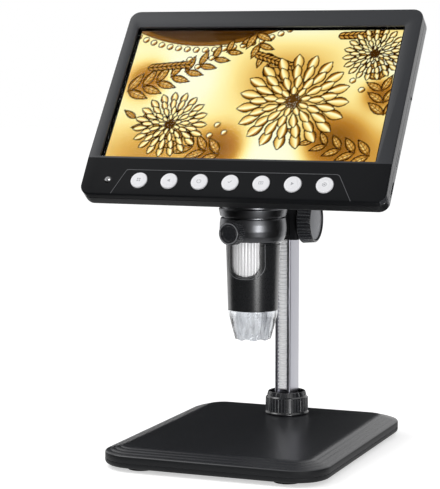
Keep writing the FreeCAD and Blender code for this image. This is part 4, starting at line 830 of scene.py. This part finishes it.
def make_bezel():
    """Front moulding: a flat frame round the window and a band that falls away below a crease."""
    outer = [(0.3, -BEZEL_DEPTH), (0.0, -BEZEL_DEPTH + 0.3), (0.0, -0.9), (0.07, -0.55), (0.26, -0.26),
             (0.55, -0.07), (0.9, 0.0)]
    rings = [inset_ring(FACE, FACE_CORNER, inset, level, FACE_STEPS) for inset, level in outer]
    for grow, level in ((0.35, 0.0), (0.1, -0.1), (0.0, -0.35), (0.0, -FRONT_WALL)):
        rings.append(inset_ring(WINDOW, WINDOW_CORNER, -grow, level, FACE_STEPS))
    for level in (-FRONT_WALL, -BEZEL_DEPTH):
        rings.append(inset_ring(FACE, FACE_CORNER, CASE_WALL, level, FACE_STEPS))
    shape = skinned(rings, closed=True)
    parts = shape.verts[:] + shape.edges[:] + shape.faces[:]
    bmesh.ops.bisect_plane(shape, geom=parts, plane_co=(0, CREASE, 0), plane_no=(0, 1, 0))
    # Below the crease the front wall falls away as one, and so keeps its thickness.
    for vert in shape.verts:
        if vert.co.y < CREASE - 1e-4 and vert.co.z > -FRONT_WALL - 0.1:
            vert.co.z -= (CREASE - vert.co.y) * BAND_FALL
    cutters = []
    for number in range(1, BUTTON_COUNT + 1):
        cutters.append(disc(BUTTON_HOLE, HOLE_LOW, HOLE_HIGH, button_across(number), BUTTON_ROW, 72))
    cutters.append(disc(EYE_HOLE, HOLE_LOW, HOLE_HIGH, EYE_ACROSS, BUTTON_ROW, 48))
    shape = carved(shape, *cutters)
    bottom = FACE[2] + 0.65

    # The sides take the rear cover's finish; the underside and the front below the crease take the band's
    # darker plastic, painted shade.
    def finish_of(point, normal):
        if normal.z < 0.5 and point.y > bottom:
            return 2
        return 1 if point.y < CREASE else 0

    def on_crease(edge):
        a, b = edge.verts[0].co, edge.verts[1].co
        return abs(a.y - CREASE) < 1e-3 and abs(b.y - CREASE) < 1e-3 and a.z > -1.0
    make_piece("display_bezel", shape, ON_DISPLAY, (frame_paint, band_shade_plastic, case_plastic), "head",
               ["front_bezel"], sharp=28, pick=finish_of, crease=on_crease)


def make_rear_cover():
    """Rear moulding: rounded back edges, a long connector bay on one side and two port mouths."""
    back, seam, inner = 3.4, -BEZEL_DEPTH - 0.02, CASE_WALL - CASE_DEPTH
    outline = [(4.0, inner), (CASE_WALL, inner), (CASE_WALL, seam),
               (0.3, seam), (0.0, seam - 0.3), (0.0, back - CASE_DEPTH)]
    steps = 7
    for step in range(1, steps + 1):
        angle = QUARTER * step / steps
        outline.append((back - back * math.cos(angle), back - CASE_DEPTH - back * math.sin(angle)))
    shape = skinned([inset_ring(FACE, FACE_CORNER, inset, level, FACE_STEPS) for inset, level in outline])
    # The bay, cut 0.5 mm into the side, then the two mouths and the wells of the case screws.
    bay = block(86.7, 90.0, -63.0, 3.7, -12.3, -7.7)
    usb = block(84.0, 90.0, -58.75, -49.45, -11.3, -7.7)
    card = block(84.0, 90.0, -41.7, -29.3, -10.05, -7.75)
    wells = []
    for x, y in ((-80.3, 51.6), (0, 51.6), (80.3, 51.6), (-80.3, -62.8), (80.3, -62.8)):
        wells.append(disc(2.1, -CASE_DEPTH - 0.9, inner, x, y, 40))
    shape = carved(shape, bay, usb, card, *wells)

    # The underside takes the darker plastic as painted shade.
    def finish_of(point, normal):
        return 1 if normal.y < -0.5 else 0
    make_piece("display_rear", shape, ON_DISPLAY, (case_plastic, shade_dull_plastic), "head",
               ["rear_cover"], sharp=28, pick=finish_of)


def make_band_line():
    """Fine moulded line that frames the buttons on the band."""
    path = eased(((-68.0, -66.9), (-61.6, -52.0, 1.4), (59.8, -51.9, 3.0), (68.6, -67.3)),
                 steps=8, closed=False)
    half, rise = 0.24, 0.1
    rings = []
    for i, here in enumerate(path):
        before = Vector(path[max(i - 1, 0)])
        after = Vector(path[min(i + 1, len(path) - 1)])
        side = (after - before).normalized().orthogonal() * half
        ring = []
        for across, up in ((-1, -0.1), (-0.6, rise), (0.6, rise), (1, -0.1)):
            x, y = here[0] + side.x * across, here[1] + side.y * across
            ring.append((x, y, up - max(0.0, CREASE - y) * BAND_FALL))
        rings.append(ring)
    make_piece("band_line", skinned(rings), ON_DISPLAY, band_line_grey, "head")


def flat_print(loops, level):
    """Thin printed marks: each loop of points becomes a plate just above a level."""
    plates = []
    for loop in loops:
        plates.append(skinned([[(x, y, z) for x, y in loop] for z in (level - 0.05, level + 0.012)]))
    return joined(*plates)


def arc_band(radius, width, start, end, steps=40):
    """Flat band along an arc, from one angle to another in degrees."""
    turns = [math.radians(start + (end - start) * i / steps) for i in range(steps + 1)]
    outer = [((radius + width / 2) * math.cos(a), (radius + width / 2) * math.sin(a)) for a in turns]
    inner = [((radius - width / 2) * math.cos(a), (radius - width / 2) * math.sin(a)) for a in turns]
    return outer + inner[::-1]


def key_symbols():
    """Plain symbols for the seven keys: menu, back, power, tick, picture, play and record."""
    def square(x, y, half):
        return [(x - half, y - half), (x + half, y - half), (x + half, y + half), (x - half, y + half)]
    menu = [square(x, y, 0.42) for x in (-0.62, 0.62) for y in (-0.62, 0.62)]
    back = [[(0.8, -1.0), (0.8, 1.0), (-0.9, 0.0)]]
    play = [[(-0.8, -1.0), (0.9, 0.0), (-0.8, 1.0)]]
    power = [arc_band(1.15, 0.36, 125, 415), square(0, 0.95, 0.2), square(0, 0.6, 0.2)]
    tick = [[(-1.15, 0.1), (-0.85, 0.38), (-0.3, -0.2), (0.9, 0.95), (1.18, 0.66), (-0.3, -0.8)]]
    frame_lines = [[(-1.3, -0.95), (1.3, -0.95), (1.3, -0.67), (-1.3, -0.67)],
                   [(-1.3, 0.67), (1.3, 0.67), (1.3, 0.95), (-1.3, 0.95)],
                   [(-1.3, -0.67), (-1.02, -0.67), (-1.02, 0.67), (-1.3, 0.67)],
                   [(1.02, -0.67), (1.3, -0.67), (1.3, 0.67), (1.02, 0.67)]]
    picture = frame_lines + [arc_band(0.36, 0.24, 0, 350)]
    record = [arc_band(1.1, 0.3, 0, 350), arc_band(0.25, 0.5, 0, 350)]
    return (menu, back, power, tick, picture, play, record)


def make_buttons():
    """White caps, slightly domed, each with a ring line and a small grey symbol."""
    fall = (-BUTTON_ROW + CREASE) * BAND_FALL
    top = 0.6 - fall
    for number, symbol in enumerate(key_symbols(), start=1):
        where = ON_DISPLAY @ Matrix.Translation((button_across(number), BUTTON_ROW, 0))
        body = "key_%d" % number
        cap = turned(eased((
            (0.0, -4.9), (1.5, -4.9), (1.5, -3.8), (5.5, -3.8), (5.5, -3.05), (4.75, -3.05),
            (4.75, top - 0.1, 0.55), (3.3, top, 0.3), (3.12, top - 0.03), (3.04, top - 0.12),
            (2.9, top - 0.12), (2.82, top - 0.03), (2.6, top, 0.3), (0.0, top - 0.02),
        ), steps=5, closed=False), 96)
        make_piece("key_cap_%d" % number, cap, where, key_plastic, body,
                   ["button_%d" % number])
        make_piece("key_symbol_%d" % number, flat_print(symbol, top), where, print_and_highlight_grey, body)


def make_eye():
    """Infra-red window: a dark dome with a pale arc on it as painted highlight, and a glowing dot beside it
    as painted glint.
    """
    centre = ON_DISPLAY @ Matrix.Translation((EYE_ACROSS, BUTTON_ROW, -(CREASE - BUTTON_ROW) * BAND_FALL))
    dome = turned(eased((
        (0.0, -3.0), (2.15, -3.0), (2.15, 0.0, 0.2), (1.5, 0.25, 0.8), (0.0, 0.36),
    ), steps=6, closed=False), 64)
    make_piece("eye_dome", dome, centre, eye_glass, "head", ["ir_window"])
    # The pale arc is painted highlight on the dome.
    ring = flat_print([arc_band(1.2, 0.42, 105, 245)], 0.34)
    make_piece("eye_painted_highlight_arc", ring, centre, print_and_highlight_grey, "head")
    # The glowing dot is a painted glint, not a lamp.
    lamp = turned(((0.0, 0.0), (0.5, 0.0), (0.46, 0.3), (0.28, 0.48), (0.0, 0.55)), 32)
    beside = centre @ Matrix.Translation((1.0, -0.42, 0))
    make_piece("eye_painted_glint", lamp, beside, glint_glow, "head")


# Picture on the screen

def gold_tone(across, up):
    """Tones of a magnified gold relief of blossom, leaves, grain and beads, from 0, dark, to 1, pale."""
    tone = 0.93 - 0.07 * np.sin(across / 23.0 + 0.6) * np.cos(up / 17.0)
    for x, y, reach, depth in ((12, 52, 13, 0.2), (128, 12, 16, 0.22), (66, 6, 14, 0.2), (150, 44, 10, 0.2)):
        tone -= depth * np.exp(-((across - x) ** 2 + (up - y) ** 2) / reach ** 2)

    def leaf(x, y, angle, length, width, veins=5, pale=0.9, bulge=0.8):
        along = (across - x) * math.cos(angle) + (up - y) * math.sin(angle)
        off = (up - y) * math.cos(angle) - (across - x) * math.sin(angle)
        s = np.clip(along / length, 1e-3, 0.999)
        half = width / 2 * np.sin(np.pi * s ** bulge) + 0.05
        inside = (along > 0) & (along < length) & (np.abs(off) < half)
        q = off / half
        edge = half - np.abs(off)
        shade = pale + 0.10 * q - 0.75 * np.clip(q - 0.15, 0, 1) ** 1.5 - 0.3 * np.clip(0.3 - s, 0, 1)
        if veins:
            vein = np.abs(((s * veins - np.abs(q) * 0.9) % 1.0) - 0.5)
            shade = shade - 0.22 * np.clip(0.16 - vein, 0, 1) / 0.16
            shade = shade - 0.55 * np.clip(0.28 - np.abs(off), 0, 1) / 0.28
        shade = np.where(edge < 0.8, 0.04 + 0.5 * np.clip(edge - 0.55, 0, 1), shade)
        tone[inside] = shade[inside]

    def bead(x, y, radius, pale=0.95):
        far = np.hypot(across - x, up - y)
        inside = far < radius
        lit = pale - 0.35 * np.clip(((across - x) - (up - y)) / radius / 1.4, 0, 1)
        lit = np.where(np.hypot(across - x + radius * 0.3, up - y - radius * 0.3) < radius * 0.3, 1.0, lit)
        lit = np.where(radius - far < 0.6, 0.05, lit)
        tone[inside] = lit[inside]

    def branch(x, y, angle, bend, count, step, size):
        """Stem with leaves in pairs that shrink towards its tip."""
        for i in range(count):
            grow = size * (1 - 0.35 * i / count)
            for side in (1, -1):
                leaf(x, y, angle + side * 0.72, grow, grow * 0.42)
            away = np.hypot(across - x, up - y)
            tone[away < 0.7] = 0.12
            x += step * math.cos(angle)
            y += step * math.sin(angle)
            angle += bend
        leaf(x, y, angle, size * 0.8, size * 0.3)

    # A curved rim of beads with a dark ground beyond it.
    rim_x, rim_y, rim_radius, bead_radius = 40, 166, 88, 93.4
    rim = np.hypot(across - rim_x, up - rim_y) - rim_radius
    tone[rim < 0] = 0.05
    tone[(rim >= 0) & (rim < 2.2)] = 0.7
    tone[(rim >= 2.2) & (rim < 2.8)] = 0.08
    for i in range(34):
        angle = math.radians(-150 + 3.4 * i)
        bead(rim_x + bead_radius * math.cos(angle), rim_y + bead_radius * math.sin(angle), 2.1)
    branch(2, 44, 0.35, 0.04, 8, 8.6, 14.5)
    branch(66, 3, 2.9, -0.05, 7, 8.4, 13.5)
    branch(153, 30, 1.75, 0.08, 6, 8.0, 13.0)
    branch(150, 4, 2.95, -0.05, 5, 8.4, 13.0)
    branch(70, 84, 5.1, 0.09, 4, 8.0, 12.0)
    # Ears of grain.
    for x, y, angle in ((10, 60, 0.1), (72, 70, -0.35), (118, 82, 0.05)):
        for i in range(9):
            cx, cy = x + 2.7 * i * math.cos(angle), y + 2.7 * i * math.sin(angle)
            for side in (1, -1):
                leaf(cx, cy, angle + side * 0.45, 6.2, 2.7, veins=0, pale=0.86)
    # Blossoms, each with its petals in four rings from the outside in round a cushion of beads. A
    # ring's values are its count, its inner radius, the petals' length and width, and its turn.
    petals = ((19, 15.5, 15.0, 6.4, 0.0), (17, 10.5, 13.5, 5.8, 0.18), (13, 5.5, 11.5, 5.2, 0.1),
              (9, 1.5, 8.5, 4.4, 0.3))
    for bx, by, size in ((101, 38, 1.05), (33, 22, 0.72), (141, 70, 0.6)):
        for count, inner, length, width, turn in petals:
            for i in range(count):
                angle = turn + 2 * math.pi * i / count
                leaf(bx + size * inner * math.cos(angle), by + size * inner * math.sin(angle), angle,
                     size * length, size * width, veins=0, pale=0.94, bulge=1.5)
        for i in range(46):
            angle, away = i * GOLDEN_TURN, size * 0.62 * math.sqrt(i)
            bead(bx + away * math.cos(angle), by + away * math.sin(angle), 0.9 * size, 0.8)
    # Small loose berries.
    for x, y in ((34, 66), (40, 61), (47, 67), (132, 52), (138, 46), (61, 22), (66, 17), (58, 15)):
        bead(x, y, 2.0)
    return np.clip(tone, 0, 1)


def make_picture():
    """Lit picture under the cover sheet, in the black surround of the panel."""
    columns, rows = PICTURE_POINTS
    wide, tall = PICTURE_SIZE
    left, right, low, high = PICTURE
    across, up = np.meshgrid(np.linspace(0, wide, columns), np.linspace(0, tall, rows))
    # Shares of the picture, from its darkest to its palest, that take each colour.
    stops = ((0.0, "#0d0300"), (0.13, "#261102"), (0.25, "#6b4310"), (0.35, "#b57a28"), (0.46, "#e0ae50"),
             (0.58, "#f5d47c"), (0.70, "#ffea98"), (0.84, "#fff8b8"), (1.0, "#ffffe0"))
    tone = gold_tone(across, up)
    tone = np.argsort(np.argsort(tone, axis=None)).reshape(tone.shape) / tone.size
    places = [stop for stop, _ in stops]
    colours = np.ones((rows * columns, 4), np.float32)
    for channel in range(3):
        levels = [linear(code)[channel] for _, code in stops]
        colours[:, channel] = np.interp(tone, places, levels).ravel()
    points = np.zeros((rows * columns, 3))
    points[:, 0] = (left + (right - left) * across / wide).ravel()
    points[:, 1] = (low + (high - low) * up / tall).ravel()
    points[:, 2] = PICTURE_LEVEL
    corner = (np.arange(rows - 1)[:, None] * columns + np.arange(columns - 1)[None, :]).ravel()
    faces = np.stack((corner, corner + 1, corner + columns + 1, corner + columns), axis=1)
    mesh = bpy.data.meshes.new("lit_picture")
    mesh.from_pydata([tuple(p) for p in points], [], [tuple(int(i) for i in f) for f in faces])
    mesh.transform(Matrix.Scale(MM, 4) @ ON_DISPLAY)
    tint = mesh.color_attributes.new("picture", "FLOAT_COLOR", "POINT")
    tint.data.foreach_set("color", colours.ravel())
    mesh.materials.append(picture_light)
    hang("lit_picture", mesh, "head", ())
    left, right, low, high = WINDOW
    under = 1.2
    mask = block(left - under, right + under, low - 0.1, high + under, MASK_LOW, MASK_HIGH)
    make_piece("panel_surround", mask, ON_DISPLAY, panel_black, "head")


# Nodes that keep their CAD shape

def dress_nodes():
    """Give every remaining CAD node the finish of its slot."""
    slots = {part["node"]: part["material_slot"] for part in frame["record"]["subparts"]}
    for name, piece in frame["nodes"].items():
        finish = NODE_FINISHES[slots[name]]
        piece.data.materials.clear()
        piece.data.materials.append(finish)


# Camera, lights and surroundings

def make_camera():
    """The fitted camera."""
    eye = bpy.data.cameras.new("camera")
    eye.sensor_width = SENSOR
    eye.lens = FOCAL_PIXELS / IMAGE_HEIGHT * SENSOR
    eye.clip_end = 20
    camera = bpy.data.objects.new("camera", eye)
    camera.location = EYE * MM
    camera.rotation_euler = (math.pi / 2 - PITCH, 0, YAW)
    bpy.context.scene.collection.objects.link(camera)
    bpy.context.scene.camera = camera


# Light of the world on the object, what the floor adds for the rays that see it, and its half width
# and the cards' distance in metres.
WORLD_LIGHT, FLOOR_LIFT, FLOOR_REACH, CARD_DISTANCE = 0.62, 0.52, 4, 0.8
TO_CAMERA = Vector((math.sin(YAW), -math.cos(YAW), 0))
TO_RIGHT = Vector((math.cos(YAW), math.sin(YAW), 0))
CENTRE = Vector((0, 0, 0.13))


def around(azimuth, elevation, distance):
    """Place round the object; azimuth is to the right of the camera's own direction."""
    a, e = math.radians(azimuth), math.radians(elevation)
    level = TO_CAMERA * math.cos(a) + TO_RIGHT * math.sin(a)
    return CENTRE + distance * (level * math.cos(e) + Vector((0, 0, 1)) * math.sin(e))


def facing(place):
    """Rotation that turns a lamp or card at a place towards the object."""
    return (CENTRE - place).to_track_quat("-Z", "Y").to_euler()


def add_lamp(name, azimuth, elevation, distance, width, height, power):
    """Soft lamp that faces the object, at a distance in metres and a power in watts."""
    light = bpy.data.lights.new(name, "AREA")
    light.shape = "RECTANGLE"
    light.size = width
    light.size_y = height
    light.energy = power
    lamp = bpy.data.objects.new(name, light)
    lamp.location = around(azimuth, elevation, distance)
    lamp.rotation_euler = facing(lamp.location)
    lamp.visible_camera = False
    bpy.context.scene.collection.objects.link(lamp)


def add_card(name, azimuths, elevations, distances=(CARD_DISTANCE, CARD_DISTANCE)):
    """Curved black studio card that only reflections see; its reach is given in degrees."""
    start, end = azimuths
    material, tree = new_material(name + "_felt")
    shader = add(tree, "ShaderNodeBsdfDiffuse", {"Color": linear("#050505")})
    add(tree, "ShaderNodeOutputMaterial", {"Surface": shader.outputs[0]})
    steps = 12
    points = []
    for elevation, distance in zip(elevations, distances):
        points += [around(start + (end - start) * i / steps, elevation, distance) for i in range(steps + 1)]
    faces = [(i, i + 1, i + steps + 2, i + steps + 1) for i in range(steps)]
    mesh = bpy.data.meshes.new(name)
    mesh.from_pydata(points, [], faces)
    mesh.materials.append(material)
    card = bpy.data.objects.new(name, mesh)
    for ray in ("camera", "diffuse", "transmission", "shadow"):
        setattr(card, "visible_" + ray, False)
    bpy.context.scene.collection.objects.link(card)


def seen_by(tree, *rays):
    """One where a ray of these kinds looks, and nought for all others."""
    path = add(tree, "ShaderNodeLightPath").outputs
    seen = path[rays[0]]
    for ray in rays[1:]:
        seen = add(tree, "ShaderNodeMath", {0: seen, 1: path[ray]}, operation="MAXIMUM").outputs[0]
    return seen


def make_studio():
    """Pale floor, white surroundings, soft lamps and the black cards that shape the reflections."""
    world = bpy.data.worlds.new("studio")
    world.use_nodes = True
    tree = world.node_tree
    tree.nodes.clear()
    seen = seen_by(tree, "Is Camera Ray", "Is Glossy Ray", "Is Transmission Ray")
    level = add(tree, "ShaderNodeMapRange", {"Value": seen, "To Min": WORLD_LIGHT, "To Max": 1.0})
    sky = add(tree, "ShaderNodeBackground", {"Color": (1, 1, 1, 1), "Strength": level.outputs[0]})
    add(tree, "ShaderNodeOutputWorld", {"Surface": sky.outputs[0]})
    bpy.context.scene.world = world
    bpy.context.scene.view_settings.view_transform = "Standard"

    material, tree = new_material("white_paper_sweep")
    seen = seen_by(tree, "Is Camera Ray", "Is Glossy Ray")
    lift = add(tree, "ShaderNodeMath", {0: seen, 1: FLOOR_LIFT}, operation="MULTIPLY")
    shader = add(tree, "ShaderNodeBsdfPrincipled", {
        "Base Color": linear("#f2f2f2"), "Roughness": 0.9, "Specular IOR Level": 0.0,
        "Emission Color": (1, 1, 1, 1), "Emission Strength": lift.outputs[0],
    })
    add(tree, "ShaderNodeOutputMaterial", {"Surface": shader.outputs[0]})
    mesh = bpy.data.meshes.new("floor")
    far = FLOOR_REACH
    mesh.from_pydata([(-far, -far, 0), (far, -far, 0), (far, far, 0), (-far, far, 0)], [], [(0, 1, 2, 3)])
    mesh.materials.append(material)
    floor = bpy.data.objects.new("floor", mesh)
    bpy.context.scene.collection.objects.link(floor)

    # The low box draws the upright streak on the ring and barrel, through the gap between the cards.
    add_lamp("front_softbox", azimuth=17, elevation=-4.4, distance=0.65, width=0.2, height=0.17, power=1.25)
    add_lamp("overhead_softbox", azimuth=-92, elevation=47, distance=0.74, width=0.4, height=0.5, power=2.0)
    add_card("left_card", azimuths=(-118, 3), elevations=(-9, 24))
    add_card("right_card", azimuths=(36, 118), elevations=(-9, 30))
    add_card("back_card", azimuths=(166, 206), elevations=(-9, 62))
    add_card("floor_card", azimuths=(-118, 118), elevations=(-9.2, -47), distances=(0.79, 0.175))


make_camera()
make_studio()
make_base()
make_column()
make_collar()
make_carriage()
make_lift_knob()
make_clamp_knob()
make_neck()
make_barrel()
make_window_bead()
make_focus_wheel()
make_nose()
make_bezel()
make_rear_cover()
make_band_line()
make_buttons()
make_eye()
make_picture()
dress_nodes()
